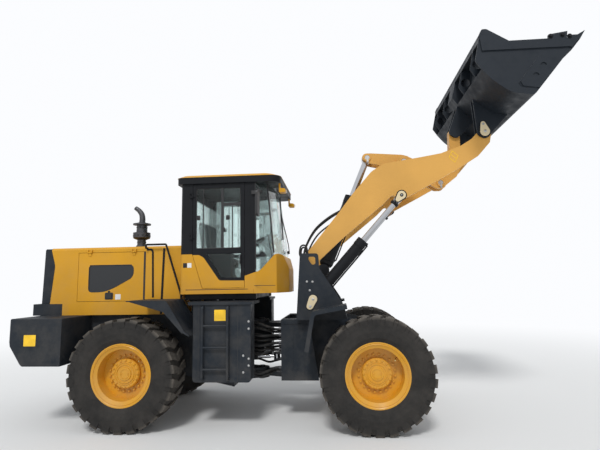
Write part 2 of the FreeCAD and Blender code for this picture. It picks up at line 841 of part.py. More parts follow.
def make_exhaust():
    """Stack on the hood: base, collar, brimmed neck and a pipe bent to the rear."""
    body = new_body("exhaust_stack", d.stack_x, d.stack_y, 0)
    base = d.hood_top + d.seat_gap
    turned(body, "stack", "side", [[
        (0, base), (d.stack_base_radius, base), (d.stack_base_radius, base + 14),
        (d.stack_neck_radius, base + 55), (d.stack_neck_radius, d.stack_collar_z - 20),
        (d.stack_collar_radius - 10, d.stack_collar_z), (d.stack_collar_radius, d.stack_collar_z + 14),
        (d.stack_collar_radius, d.stack_collar_z + 85),
        (d.stack_base_radius - 15, d.stack_collar_z + 95), (d.stack_base_radius - 20, d.stack_brim_z),
        (d.stack_brim_radius, d.stack_brim_z), (d.stack_brim_radius, d.stack_brim_z + 20),
        (d.stack_pipe_radius + 24, d.stack_brim_z + 34), (0, d.stack_brim_z + 34),
    ]], "V_Axis")
    return body


def make_exhaust_tail():
    foot = d.stack_brim_z + 34 + d.seat_gap
    x = d.stack_x + 20
    points = [
        (x, d.stack_y, foot), (x, d.stack_y, foot + 150), (x - 125, d.stack_y, d.stack_tip_z - 12),
    ]
    return tube_node("exhaust_tail", [(points, d.stack_pipe_radius, 80)])


# Cab

def cab_plan(front, corner):
    return [
        (d.cab_tail, -d.cab_half, 60), (d.cab_post, -d.cab_half), (corner, -d.nose_corner_half),
        (front, -d.nose_mid_half), (front, d.nose_mid_half), (corner, d.nose_corner_half),
        (d.cab_post, d.cab_half), (d.cab_tail, d.cab_half, 60),
    ]


def side_door_outline(gap):
    """Doorway outline: square above the belt, drawn in along the seam below it."""
    return [
        (d.door_sill_tail + gap, d.door_sill_z + gap), (d.side_door_front - gap, d.door_sill_z + gap),
        (d.side_door_front - gap, d.cab_head - gap - 6), (d.side_door_tail + gap, d.cab_head - gap - 6),
        (d.side_door_tail + gap, d.cab_belt),
    ]


def nose_line(gap):
    """Upper edge of the nose in the side view, from the doorway to its front."""
    return [
        (d.side_door_front - 5, 1828 + gap), (96, 1895 + gap, 120), (290, d.cab_belt - 4 + gap, 60),
        (372, d.cab_belt - 12 + gap, 60), (d.nose_front + 8, 1900 + gap),
    ]


def make_cab_tub():
    """Lower shell of the cab: floor, side panels and the rounded nose."""
    body = new_body("cab_tub")
    plan = cab_plan(d.nose_front, d.nose_corner_x)
    top = d.cab_belt
    pad(body, "shell", "plan", [plan], d.cab_floor_z, top)
    wall = d.cab_wall
    room = [
        (d.cab_tail + wall, -d.cab_half + wall, 20), (d.cab_post, -d.cab_half + wall),
        (d.cowl_tail - wall, -d.nose_corner_half + wall), (d.cowl_tail, -d.nose_corner_half + 2 * wall),
        (d.cowl_tail, d.nose_corner_half - 2 * wall), (d.cowl_tail - wall, d.nose_corner_half - wall),
        (d.cab_post, d.cab_half - wall), (d.cab_tail + wall, d.cab_half - wall, 20),
    ]
    pocket(body, "room", "plan", [room], d.cab_floor_z + d.floor_wall, top + 5)
    foot_well = [
        (d.cowl_tail - 5, -d.nose_corner_half + 3 * wall), (d.nose_front - wall, -d.nose_mid_half + wall),
        (d.nose_front - wall, d.nose_mid_half - wall), (d.cowl_tail - 5, d.nose_corner_half - 3 * wall),
    ]
    pocket(body, "foot_well", "plan", [foot_well], d.cab_floor_z + d.floor_wall, 1870)
    pocket(body, "doorways", "side",
           [[(d.door_sill_tail, d.door_sill_z), (d.side_door_front, d.door_sill_z),
             (d.side_door_front, top + 10), (d.side_door_tail, top + 10), (d.side_door_tail, top)]],
           -d.cab_half - 5, d.cab_half + 5)
    above = nose_line(0) + [(d.nose_front + 8, top + 10), (d.side_door_front - 5, top + 10)]
    pocket(body, "nose_sweep", "side", [above], -d.cab_half - 5, d.cab_half + 5)
    return body


def rear_window(gap):
    return box(-d.cab_half + 150 + gap, d.cab_half - 150 - gap, d.cab_belt + 120 + gap, d.cab_head - 110 - gap)


def make_cab_frame():
    """Black posts and rails round the doorways and windows."""
    body = new_body("cab_frame")
    belt = d.cab_belt + d.seat_gap
    head = d.cab_head
    wall = d.cab_wall
    plan = [
        (d.cab_tail, -d.cab_half, 60), (d.cab_post, -d.cab_half), (d.cab_post, d.cab_half),
        (d.cab_tail, d.cab_half, 60),
    ]
    room = [
        (d.cab_tail + wall, -d.cab_half + wall, 20), (d.cab_post - wall, -d.cab_half + wall),
        (d.cab_post - wall, d.cab_half - wall), (d.cab_tail + wall, d.cab_half - wall, 20),
    ]
    pad(body, "upper_box", "plan", [plan], belt, head)
    pocket(body, "room", "plan", [room], belt - 5, head + 5)
    pocket(body, "doorways", "side",
           [box(d.side_door_tail, d.side_door_front, belt - 5, head - 6)], -d.cab_half - 5, d.cab_half + 5)
    pocket(body, "rear_window", "end", [rear_window(0)], d.cab_tail - 5, d.cab_tail + wall + 5)
    pocket(body, "front_opening", "end",
           [box(-d.cab_half + wall + 15, d.cab_half - wall - 15, belt - 5, head - 60)],
           d.cab_post - wall - 5, d.cab_post + 5)
    for side, sign in (("right", -1), ("left", 1)):
        add_lugs(body, side, "plan", d.side_door_tail, d.cab_half, sign, CAB_HINGES)
    post = pad(body, "post_foot", "side",
               [[(d.side_door_front, 1829.5 + d.seat_gap), (d.cab_post, 1876.5 + d.seat_gap),
                 (d.cab_post, belt + 5), (d.side_door_front, belt + 5)]],
               d.cab_half - wall, d.cab_half)
    mirrored(body, "other_post_foot", [post])
    return body


def screen_plan(front, corner, inner):
    return [
        (d.cab_post + d.seat_gap, -d.cab_half + inner), (corner - inner, -d.nose_corner_half),
        (front - inner, -d.nose_mid_half), (front - inner, d.nose_mid_half),
        (corner - inner, d.nose_corner_half), (d.cab_post + d.seat_gap, d.cab_half - inner),
    ]


def make_cab_glass():
    """Wrap-round windscreen of flat panes, and the rear window."""
    body = new_body("cab_glass")
    wall = d.glass_wall
    low = d.cab_belt - 270
    high = d.cab_head - 2
    lean = (d.screen_low_front - d.screen_top_front) / (high - d.cab_belt)
    corner_lean = (d.screen_low_corner - d.screen_top_corner) / (high - d.cab_belt)
    foot_front = d.screen_low_front + lean * 270
    foot_corner = d.screen_low_corner + corner_lean * 270
    sections = []
    for front, corner, level in ((foot_front, foot_corner, low),
                                 (d.screen_top_front, d.screen_top_corner, high)):
        outer = screen_plan(front, corner, 0)
        inner = screen_plan(front, corner, wall)
        sections.append((outer + inner[::-1], level))
    lofted(body, "windscreen", "plan", sections)
    below = nose_line(d.seat_gap) + [(d.nose_front + 8, low - 10), (d.side_door_front - 5, low - 10)]
    pocket(body, "nose_cut", "side", [below], -d.cab_half - 5, d.cab_half + 5)
    pad(body, "rear_window", "end", [rear_window(d.seat_gap)], d.cab_tail + 20, d.cab_tail + 20 + wall)
    return body


def make_cab_visor():
    """Black roof frame that carries the roof panel."""
    body = new_body("cab_visor")
    half = d.roof_half - 4
    pad(body, "frame", "plan",
        [[(d.roof_tail + 6, -half, 90), (d.roof_front - 6, -half, 140),
          (d.roof_front - 6, half, 140), (d.roof_tail + 6, half, 90)]],
        d.cab_head + d.seat_gap, d.visor_z)
    return body


def make_cab_roof():
    body = new_body("cab_roof")
    half = d.roof_half
    low = [(d.roof_tail, -half, 90), (d.roof_front, -half, 140), (d.roof_front, half, 140),
           (d.roof_tail, half, 90)]
    high = [(d.roof_tail + 60, -half + 60, 90), (d.roof_front - 90, -half + 60, 140),
            (d.roof_front - 90, half - 60, 140), (d.roof_tail + 60, half - 60, 90)]
    lofted(body, "panel", "plan", [(low, d.visor_z + d.seat_gap), (high, d.roof_z)])
    return body


def door_sides(side):
    """Outer and inner face of a cab door on one side."""
    if side > 0:
        return d.cab_half - d.door_wall, d.cab_half
    return -d.cab_half, -d.cab_half + d.door_wall


def lower_window(gap):
    return [
        (-600 + gap, d.cab_belt - gap), (-412 + gap * 0.5, 1812 + gap), (-150 - gap, 1812 + gap),
        (-150 - gap, d.cab_belt - gap),
    ]


def seam_x(level):
    """Rear edge of the doorway below the belt, at a level."""
    slope = (d.door_sill_tail - d.side_door_tail) / (d.cab_belt - d.door_sill_z)
    return d.side_door_tail + (d.cab_belt - level) * slope


def make_door_panel(name, side):
    """Painted lower panel of a cab door."""
    body = new_body(name)
    low, high = door_sides(side)
    gap = d.panel_gap
    pad(body, "panel", "side",
        [[(d.door_sill_tail + gap, d.door_sill_z + gap), (d.side_door_front - gap, d.door_sill_z + gap),
          (d.side_door_front - gap, 1770), (-430, 1775, 50), (-640, 2075, 60),
          (-700, d.cab_belt - 12, 40), (seam_x(d.cab_belt - 10) + gap, d.cab_belt - 10)]],
        low, high)
    return body


def make_door_frame(name, side):
    """Black frame of a cab door round its two windows."""
    body = new_body(name)
    low, high = door_sides(side)
    gap = d.panel_gap
    seat = d.seat_gap
    edge = [
        (d.side_door_front - gap, 1770 + seat), (d.side_door_front - gap, d.cab_head - gap - 6),
        (d.side_door_tail + gap, d.cab_head - gap - 6), (d.side_door_tail + gap, d.cab_belt),
        (seam_x(d.cab_belt - 10 + seat) + gap, d.cab_belt - 10 + seat),
        (-700, d.cab_belt - 12 + seat, 40), (-640 + seat, 2075 + seat, 60), (-430 + seat, 1775 + seat, 50),
    ]
    upper = box(d.side_door_tail + 45, d.side_door_front - 50, d.window_low_z, d.cab_head - 60)
    pad(body, "frame", "side", [edge, upper, lower_window(0)], low, high)
    add_eyes(body, "hinge", "plan", d.side_door_tail, d.cab_half, side, CAB_HINGES)
    return body


def make_door_glass(name, side):
    """Upper and lower pane of a cab door."""
    body = new_body(name)
    low, high = door_sides(side)
    middle = (low + high) / 2
    seat = d.seat_gap
    upper = box(d.side_door_tail + 45 + seat, d.side_door_front - 50 - seat,
                d.window_low_z + seat, d.cab_head - 60 - seat)
    pad(body, "panes", "side", [upper, lower_window(seat)], middle - d.glass_wall / 2, middle + d.glass_wall / 2)
    return body


def make_seat():
    base = new_body("seat_base")
    floor = d.cab_floor_z + d.floor_wall + d.seat_gap
    pad(base, "pedestal", "plan", [box(d.seat_x - 190, d.seat_x + 190, -200, 200)], floor, d.seat_top - 130)
    cushion = new_body("seat_cushion")
    pad(cushion, "squab", "side",
        [[(d.seat_x - 230, d.seat_top - 130 + d.seat_gap), (d.seat_x + 260, d.seat_top - 130 + d.seat_gap, 40),
          (d.seat_x + 260, d.seat_top, 45), (d.seat_x - 120, d.seat_top - 10, 60),
          (d.seat_x - 210, d.seat_top + 560, 50), (d.seat_x - 320, d.seat_top + 540, 50)]],
        -240, 240)
    return cushion


def make_console():
    body = new_body("cab_console")
    floor = d.cab_floor_z + d.floor_wall + d.seat_gap
    pad(body, "column", "side",
        [[(60, floor), (220, floor), (170, d.wheel_z - 170, 60), (d.wheel_x + 64.6, d.wheel_z - 32.1),
          (d.wheel_x - 17, d.wheel_z - 70.1), (90, d.wheel_z - 260)]], -70, 70)
    pad(body, "lever_box", "plan", [box(d.seat_x - 150, d.seat_x + 220, -430, -260)], floor, d.seat_top + 60)
    return body


def make_steering_wheel():
    body = new_body("steering_wheel", d.wheel_x, 0, d.wheel_z, Vector(0, 1, 0), -25)
    ring = d.wheel_ring_wall
    turned(body, "ring", "side", [
        [(d.wheel_ring_radius - ring, -ring), (d.wheel_ring_radius + ring, -ring),
         (d.wheel_ring_radius + ring, ring), (d.wheel_ring_radius - ring, ring)]], "V_Axis")
    pad(body, "spokes", "plan",
        [box(-d.wheel_ring_radius, d.wheel_ring_radius, -18, 18)], -10, 6)
    pad(body, "boss", "plan", [disc(0, 0, 45)], -56, 10)
    return body


# Steps, tanks, fenders and rails

def make_side_tanks():
    """Tank and battery box under the platform, one on each side."""
    body = new_body("side_tanks")
    chamfer = 60
    shape = [
        (d.tank_tail, d.tank_low, 40), (d.tank_front, d.tank_low, 40), (d.tank_front, d.tank_top),
        (d.tank_tail, d.tank_top),
    ]
    tank = pad(body, "tank", "side", [shape], d.tank_inner, d.tank_outer)
    deck = pad(body, "platform", "side",
               [box(d.tank_tail - 60, d.tank_front + 20, d.tank_top - 1, d.tank_top + d.platform_wall)],
               d.frame_half + 60, d.tank_outer + 20)
    bracket = pad(body, "bracket", "side",
                  [box(d.tank_tail + 60, d.tank_tail + 300, d.frame_top - 260, d.frame_top - 180),
                   box(-d.ear_root_half - 220, -d.ear_root_half - 120, d.frame_top - 260, d.frame_top - 180)],
                  d.frame_half + d.seat_gap, d.tank_inner + 5)
    mirrored(body, "other_side", [tank, deck, bracket])
    return body


def make_ladders():
    """Side rails and rungs in front of each tank."""
    tubes = []
    out = d.tank_outer + 42
    face = d.tank_outer + d.seat_gap
    radius = d.rail_radius
    low = d.tank_low + 40
    high = d.tank_top - 30
    for x in (d.step_tail, d.step_front):
        tubes.append(([(x, face, low), (x, out, low), (x, out, high), (x, face, high)], radius, 20))
    for level in (720.0, 975.0, 1230.0):
        tubes.append(([(d.step_tail, out, level), (d.step_front, out, level)], d.rung_radius, 20))
    return tube_node("ladders", both_sides(tubes))


def make_rear_fenders():
    """Plate over the front quarter of each rear wheel."""
    body = new_body("rear_fenders")
    wall = d.fender_wall
    tank = d.tank_tail - d.seat_gap
    top = d.rear_fender_top
    tail = d.rear_axle_x + 48
    bend = d.rear_axle_x + 545
    knee = d.rear_axle_x + 775
    path = [
        (tail, top), (bend, top, 40), (knee, top - 365, 60), (tank, top - 415), (tank, top - 415 - wall),
        (knee - 7, top - 380 - wall, 60), (bend - 10, top - wall, 40), (tail, top - wall),
    ]
    plate = pad(body, "plate", "side", [path], d.fender_inner, d.fender_outer)
    skirt = pad(body, "skirt", "side",
                [[(tail, top - 1), (bend, top - 1), (knee, top - 366), (knee - 21, top - 395),
                  (bend - 30, top - 138)]],
                d.fender_outer - wall, d.fender_outer)
    stay = pad(body, "stay", "side", [box(bend - 105, bend - 25, top - 345, top - wall / 2)],
               d.fender_inner, d.fender_inner + 20)
    foot = pad(body, "stay_foot", "side", [box(bend - 105, bend - 25, top - 345, top - 305)],
               d.frame_half + d.seat_gap, d.fender_inner + 10)
    mirrored(body, "other_side", [plate, skirt, stay, foot])
    return body


def make_handrails():
    """Rail along each upper edge of the hood and down to the fender."""
    y = d.hood_half + 55
    top = d.hood_top + 16
    foot = d.rear_axle_x + 535
    rail = [
        (-1485, d.hood_half + d.seat_gap, top - 45), (-1485, y, top - 45), (-1485, y, top),
        (-1205, y, top), (foot, y, d.rear_fender_top + 55), (foot, y, d.rear_fender_top + d.seat_gap),
    ]
    return tube_node("handrails", both_sides([(rail, 13.0, 18)]))


def make_mirrors():
    body = new_body("mirrors")
    inner = d.cab_half + 185
    outer = inner + 155
    head = [(inner, 2560, 35), (outer, 2560, 35), (outer, 2880, 35), (inner, 2880, 35)]
    glass = pad(body, "mirror", "end", [head], 108, 136)
    arm = pad(body, "arm", "side", [disc(122, 2914, 10)], d.roof_half - 20, inner + 48)
    rise = pad(body, "rise", "plan", [disc(122, inner + 40, 9)], 2870, 2914)
    post = pad(body, "post", "end", [box(d.cab_half + d.seat_gap, d.roof_half, 2890, 2938)], 0, 138)
    mirrored(body, "other_mirror", [glass, arm, rise, post])
    return body


def make_roof_lamps():
    body = new_body("roof_lamps")
    lamp = pad(body, "lamp", "side",
               [[(355, 2925), (440, 2925, 20), (430, 2975, 20), (355, 2985, 15)]], 520, 640)
    stalk = pad(body, "stalk", "side", [box(340, 362, 2940, d.cab_head)], 565, 595)
    mirrored(body, "other_lamp", [lamp, stalk])
    return body


def make_rear_lamps():
    """Lamp box on each side of the counterweight's rear face."""
    body = new_body("rear_lamps")
    back = d.weight_tail - d.seat_gap
    low = d.frame_top - 165
    high = low + 85
    case = [(730, low, 18), (930, low, 18), (930, high, 18), (730, high, 18)]
    housing = pad(body, "housing", "end", [case], back - 34, back)
    lens = pad(body, "lens", "end", [inset(case, 9)], back - 44, back - 33)
    mirrored(body, "other_lamp", [housing, lens])
    return body


# Axles and wheels

def make_axle(name, x):
    """Banjo housing, tubes, brakes and the spindles that the wheels turn on."""
    body = new_body(name, x, 0, d.tyre_radius)
    tube_end = d.track / 2 - 150
    brake_end = tube_end + d.brake_width
    turned(body, "housing", "end", [[
        (0, 0), (brake_end + d.spindle_reach, 0), (brake_end + d.spindle_reach, d.spindle_radius),
        (brake_end, d.spindle_radius), (brake_end, d.brake_radius), (tube_end, d.brake_radius),
        (tube_end, d.axle_tube_radius), (d.axle_bowl_width, d.axle_tube_radius),
        (d.axle_bowl_width / 2, d.axle_bowl_radius), (0, d.axle_bowl_radius),
    ]])
    mirrored(body, "other_half", [body.Tip])
    return body


def make_axles():
    rear = make_axle("rear_axle", -d.wheelbase / 2)
    pads = pad(rear, "saddles", "side",
               [box(-d.axle_pad_half, d.axle_pad_half, 0, d.arch_low - d.tyre_radius - d.seat_gap)],
               -60, 60)
    front = make_axle("front_axle", d.wheelbase / 2)
    seats = pad(front, "spring_seats", "side",
                [box(-d.axle_pad_half, d.axle_pad_half, 0, d.front_arch_low - d.tyre_radius - d.seat_gap)],
                d.tower_inner - 60, d.tower_inner + 60)
    mirrored(front, "other_seat", [seats])
    return pads


def make_tyre(name, x, y, turn):
    body = new_body(name, x, y, d.tyre_radius, Vector(0, 0, 1), turn)
    half = d.tyre_width / 2
    rim = d.rim_width / 2
    gap = d.pin_gap
    flange = d.flange_radius
    bead = d.bead_radius
    inner = rim - d.flange_wall
    tread = d.tread_width / 2
    ground = d.tyre_radius - d.lug_height
    half_loop = [
        (inner - 20, bead + gap), (inner - gap, bead + 22), (inner - gap, flange + gap),
        (rim, flange + gap), (half - 12, flange + 50), (half, flange + 120), (half - 4, flange + 200),
        (tread + 4, ground), (tread - 20, ground + 4),
    ]
    other = [(-as_size(p[0]), p[1]) for p in half_loop[::-1]]
    turned(body, "casing", "end", [half_loop + other])
    add_tread(body, half, tread, ground, turn)
    return body


# Rows of a lug, from the shoulder to the middle of the tread:
# place across the tread, lead towards the front, half length, outer radius.
LUG_ROWS = (("shoulder", 0.0, 46, 34), ("edge", 0.0, 50, 0), ("arm", 0.35, 42, 0), ("middle", 1.0, 38, 0))
LUG_COUNT = 26


def on_circle(across, drop):
    """Height of a point just inside the tyre's outer circle, lowered by drop."""
    return d.tyre_radius - drop - across * across / (d.tyre_radius * 1.98)


def add_tread(body, half, tread, ground, turn):
    """One V-shaped lug lofted across the tread, repeated round the tyre."""
    forward = 1 if turn == 0 else -1
    places = {"shoulder": half - 1, "edge": tread + 6, "arm": tread / 2, "middle": as_size(0)}
    sections = []
    for name, lead, reach, drop in LUG_ROWS:
        middle = d.lug_lead * (lead * forward)
        low = ground - 40 - drop
        left = middle - reach
        right = middle + reach
        loop = [(left, low), (right, low), (right, on_circle(right, drop)), (left, on_circle(left, drop))]
        sections.append((loop, places[name]))
    other = [(loop, -height) for loop, height in sections[-2::-1]]
    lofted(body, "lug", "side", sections + other)
    return around(body, "lugs", [body.Tip], LUG_COUNT, "Y_Axis")


def make_rim(name, x, y, turn):
    """Rim, dished disc and planetary hub; the outer side is towards +Y of the body."""
    body = new_body(name, x, y, d.tyre_radius, Vector(0, 0, 1), turn)
    rim = d.rim_width / 2
    wall = d.rim_wall
    bead = d.bead_radius
    inner = rim - d.flange_wall
    bore = d.spindle_radius + d.pin_gap
    face = rim - d.hub_recess
    bore_in = -(d.track / 2 - (d.track / 2 - 150 + d.brake_width)) + d.side_gap
    bore_out = bore_in + d.spindle_reach + 10
    turned(body, "wheel", "end", [[
        (bore_out, 0), (face + d.hub_cap_rise, 0), (face + d.hub_cap_rise, d.hub_cap_radius),
        (face, d.hub_cap_radius + 4), (face, d.hub_radius - 14), (face - 14, d.hub_radius),
        (face - 60, d.hub_radius), (face - 60, bead - wall - 8), (inner - 10, bead - wall),
        (rim - 8, d.flange_radius - 26), (rim, d.flange_radius - 12), (rim, d.flange_radius),
        (inner, d.flange_radius), (inner, bead + 20), (inner - 20, bead),
        (-inner + 20, bead), (-inner, bead + 20), (-inner, d.flange_radius), (-rim, d.flange_radius),
        (-rim, d.flange_radius - 20), (-inner + 10, bead - wall), (face - 60 - d.disc_wall, bead - wall - 8),
        (face - 60 - d.disc_wall, d.brake_radius - 10), (bore_in, d.brake_radius - 10), (bore_in, bore),
        (bore_out, bore),
    ]])
    return body


def make_wheels():
    for end, x in (("front", d.wheelbase / 2), ("rear", -d.wheelbase / 2)):
        for side, y, turn in (("right", -d.track / 2, 180), ("left", d.track / 2, 0)):
            make_tyre(f"tyre_{end}_{side}", x, y, turn)
            make_rim(f"wheel_{end}_{side}", x, y, turn)


# Front frame

def make_front_frame():
    """Lower box with the hinge tongues, and the tower plates that carry the boom."""
    body = new_body("front_frame")
    inner = d.tower_inner
    wall = d.tower_wall
    lower = [
        (d.front_tail, d.front_low, 30), (824, d.front_low), (900, d.front_arch_low),
        (d.front_nose - 160, d.front_arch_low),
        (d.front_nose, 980), (d.front_nose, 1130), (1209, d.front_deck_z), (d.front_tail, d.front_deck_z),
    ]
    low_plate = pad(body, "long_plate", "side", [lower], inner - wall, inner)
    mud = pad(body, "mud_plate", "side",
              [[(d.front_tail, d.front_low, 30), (824, d.front_low), (710, d.front_deck_z),
                (d.front_tail, d.front_deck_z)]], d.front_plate_half - wall, d.front_plate_half)
    deck = pad(body, "deck", "side", [box(d.front_tail, 710, d.front_deck_z - wall, d.front_deck_z)],
               inner - wall, d.front_plate_half)
    shelf = pad(body, "shelf", "side",
                [box(560, 1090, d.front_deck_z - 1, d.front_deck_z + wall)], inner - wall, d.tower_outer)
    tower = [
        (560, d.front_deck_z + 5), (617, d.tower_top, 35), (852, d.tower_top - 5, 35), (862, 1909),
        (1126, 1501), (1206, d.front_deck_z + 5),
    ]
    window = [(700, 2060, 25), (812, 2055, 25), (820, 1880, 30)]
    outer_plate = pad(body, "outer_plate", "side", [tower, window], d.tower_outer - wall + 2, d.tower_outer)
    boom_pin = pad(body, "boom_pin", "side", [disc(d.boom_x, d.boom_z, d.pin_radius)],
                   inner - wall - 20, d.tower_outer - wall + 4)
    lift_pin = pad(body, "lift_pin", "side", [disc(d.lift_base_x, d.lift_base_z, d.pin_radius)],
                   inner - wall - 20, d.tower_outer + 14)
    inner_tower = [
        (560, d.front_deck_z - 5), (600, d.boom_z + 40), (650, d.boom_z + 120, 40),
        (790, d.boom_z + 100, 40), (830, d.boom_z - 100), (1126, 1450), (1206, d.front_deck_z - 5),
    ]
    inner_plate = pad(body, "inner_plate", "side", [inner_tower], inner - wall, inner)
    tilt_ear = pad(body, "tilt_ear", "side",
                   [[(820, 1262), (1010, 1262), (d.tilt_base_x + 80, d.tilt_base_z - 30),
                     (d.tilt_base_x + 70, d.tilt_base_z + 75, 60), (d.tilt_base_x - 70, d.tilt_base_z + 75, 60),
                     (d.tilt_base_x - 80, d.tilt_base_z - 30)]], 112, 142)
    clear = d.steer_eye_half + d.side_gap / 2
    lug = [
        (d.front_tail + wall / 2, d.steer_eye_y - 85), (d.front_tail + wall / 2, d.steer_eye_y + 85),
        (d.steer_eye_x - 40, d.steer_eye_y + 46, 40), (d.steer_eye_x - 40, d.steer_eye_y - 46, 40),
    ]
    over = pad(body, "lug_over", "plan", [lug], d.steer_z + clear, d.steer_z + clear + 18)
    under = pad(body, "lug_under", "plan", [lug], d.steer_z - clear - 18, d.steer_z - clear)
    mirrored(body, "other_side", [low_plate, mud, deck, shelf, outer_plate, boom_pin, lift_pin,
                                  inner_plate, tilt_ear, over, under])
    span = inner - wall / 2
    pad(body, "tail_plate", "end",
        [box(-d.front_plate_half, d.front_plate_half, d.front_low, d.front_deck_z)],
        d.front_tail, d.front_tail + wall)
    pad(body, "inner_deck", "side", [box(800, 1206, d.front_deck_z - 24, d.front_deck_z)], -span, span)
    pad(body, "nose_plate", "end", [box(-span, span, 980, 1125)], d.front_nose - 40, d.front_nose - 12)
    pad(body, "tower_web", "end", [box(-span, span, d.front_deck_z - 10, 1620)], 610, 632)
    pad(body, "tilt_pin", "side", [disc(d.tilt_base_x, d.tilt_base_z, d.pin_radius)], -150, 150)
    tongue = [
        (d.front_tail + wall / 2, -d.ear_root_half), (d.ear_radius * 0.4, -d.ear_radius),
        (-d.ear_radius, -d.ear_radius, d.ear_radius * 0.98),
        (-d.ear_radius, d.ear_radius, d.ear_radius * 0.98), (d.ear_radius * 0.4, d.ear_radius),
        (d.front_tail + wall / 2, d.ear_root_half),
    ]
    hole = disc(0, 0, d.hinge_pin_radius + d.pin_gap)
    for name, level in (("upper", d.upper_hinge_z), ("lower", d.lower_hinge_z)):
        pad(body, name + "_tongue", "plan", [tongue, hole], level - d.tongue_wall / 2,
            level + d.tongue_wall / 2)
    return body


def make_front_fenders():
    body = new_body("front_fenders")
    wall = d.fender_wall
    arch = d.front_fender_reach
    foot_x = d.front_axle_x - arch * 0.965
    foot_z = d.tyre_radius + arch * 0.314
    bend_x = d.front_axle_x - arch * 0.865
    bend_z = d.tyre_radius + arch * 0.840
    nose_x = d.front_axle_x - arch * 0.383
    nose_z = d.tyre_radius + arch * 0.925
    path = [
        (foot_x, foot_z), (bend_x, bend_z, 60), (nose_x, nose_z), (nose_x + 2, nose_z - wall),
        (bend_x + wall, bend_z - wall, 50), (foot_x + wall, foot_z - 2),
    ]
    plate = pad(body, "plate", "side", [path], d.tower_outer + d.seat_gap, d.fender_outer)
    deep = d.fender_flange
    edge = [
        (foot_x, foot_z), (bend_x, bend_z, 60), (nose_x, nose_z), (nose_x + 8, nose_z - deep),
        (bend_x + deep * 0.85, bend_z - deep * 0.85, 45), (foot_x + deep, foot_z - 8),
    ]
    flange = pad(body, "flange", "side", [edge], d.fender_outer - wall, d.fender_outer)
    mirrored(body, "other_side", [plate, flange])
    return body


# Boom and its linkage

def arm_outline():
    """Outer edge of a lift arm, from the frame pin over the hump to the bucket pin."""
    ax, az = d.boom_x, d.boom_z
    bx, bz = d.bucket_x, d.bucket_z
    return [
        (ax - 110, az + 20, 85), (ax + 10, az - 115, 85), (ax + 166, az + 66), (1176, 2303),
        (1338, 2433), (1714, 2736, 60), (1838, 2858, 35), (1990, 2800, 60), (2384, 3005),
        (2676, 3161), (2988, 3352, 60), (bx + 75, bz - 130), (bx + 110, bz + 40, 70),
        (bx + 10, bz + 105, 70), (2911, 3580, 200), (2769, 3495), (2504, 3402), (2241, 3360),
        (1740, 3290, 200), (1579, 3187, 200), (1315, 2885), (1144, 2662), (ax + 20, az + 195),
    ]


def make_boom():
    """Two plate arms, their cross tube and the brackets of the bell crank."""
    body = new_body("boom")
    bore = d.pin_radius + d.pin_gap
    arm = pad(body, "arm", "side",
              [arm_outline(), disc(d.boom_x, d.boom_z, bore), disc(d.bucket_x, d.bucket_z, bore)],
              d.arm_outer - d.arm_wall, d.arm_outer)
    low = d.crank_inner + d.crank_wall + d.side_gap
    bracket = pad(body, "crank_bracket", "side",
                  [[(d.cross_x - 130, d.cross_z + 40), (d.cross_x + 120, d.cross_z - 60),
                    (d.crank_x + 100, d.crank_z - 60), (d.crank_x + 95, d.crank_z + 90, 80),
                    (d.crank_x - 95, d.crank_z + 90, 80), (d.crank_x - 110, d.crank_z - 60)]],
                  low, low + d.bracket_wall)
    mirrored(body, "other_side", [arm, bracket])
    reach = d.arm_outer - d.arm_wall / 2
    pad(body, "cross_tube", "side", [disc(d.cross_x, d.cross_z, d.cross_radius)], -reach, reach)
    pad(body, "crank_pin", "side", [disc(d.crank_x, d.crank_z, d.pin_radius)], -low - 50, low + 50)
    return body


def make_bell_crank():
    """Two plates on one hub, forked at both ends."""
    body = new_body("bell_crank")
    gx, gz = d.crank_x, d.crank_z
    fx, fz = d.tilt_eye_x, d.tilt_eye_z
    hx, hz = d.link_low_x, d.link_low_z
    bore = d.pin_radius + d.pin_gap
    outline = [
        (fx - 75, fz - 25, 55), (fx + 20, fz - 80, 60), (gx - 120, gz - 80, 150), (gx + 40, gz - 130, 120),
        (hx - 60, hz - 80, 60), (hx + 65, hz - 80, 60), (hx + 85, hz + 40, 60), (gx + 120, gz + 60, 250),
        (gx, gz + 115, 200), (fx + 60, fz + 62, 100), (fx - 60, fz + 65, 60),
    ]
    plate = pad(body, "plate", "side", [outline, disc(gx, gz, bore)], d.crank_inner,
                d.crank_inner + d.crank_wall)
    mirrored(body, "other_plate", [plate])
    pad(body, "hub", "side", [disc(gx, gz, 85), disc(gx, gz, bore)], -d.crank_inner - 1, d.crank_inner + 1)
    pad(body, "link_pin", "side", [disc(hx, hz, d.pin_radius - 4)], -d.crank_inner - 5, d.crank_inner + 5)
    return body


def make_bucket_link():
    """Bent link between the bell crank and the bucket, with its upper pin."""
    body = new_body("bucket_link")
    hx, hz = d.link_low_x, d.link_low_z
    ix, iz = d.link_top_x, d.link_top_z
    half = d.crank_inner - d.side_gap
    outline = [
        (hx - 75, hz - 15, 65), (hx + 10, hz - 85, 65), (hx + 240, hz + 95), (hx + 315, hz + 240, 120),
        (ix + 75, iz - 20, 60), (ix + 60, iz + 75, 60), (ix - 70, iz + 70, 60), (ix - 75, iz - 60),
        (hx + 150, hz + 260, 100), (hx - 60, hz + 75, 65),
    ]
    pad(body, "link", "side", [outline, disc(hx, hz, d.pin_radius - 4 + d.pin_gap)], -half, half)
    return body


def along_pins(name, x0, z0, x1, z1, y=0):
    """A body whose own X axis runs from one pin towards another."""
    return new_body(name, x0, y, z0, Vector(0, -1, 0), line_angle(x0, z0, x1, z1))


def barrel_profile(length, radius, bore, neck, neck_radius, floor):
    """Half section of a barrel: neck at the eye, tube and gland, with a bore for the rod."""
    gland = radius + d.gland_rise
    return [
        (neck, 0), (floor, 0), (floor, bore), (length, bore), (length, gland), (length - 95, gland),
        (length - 110, radius), (neck + 40, radius), (neck, neck_radius),
    ]


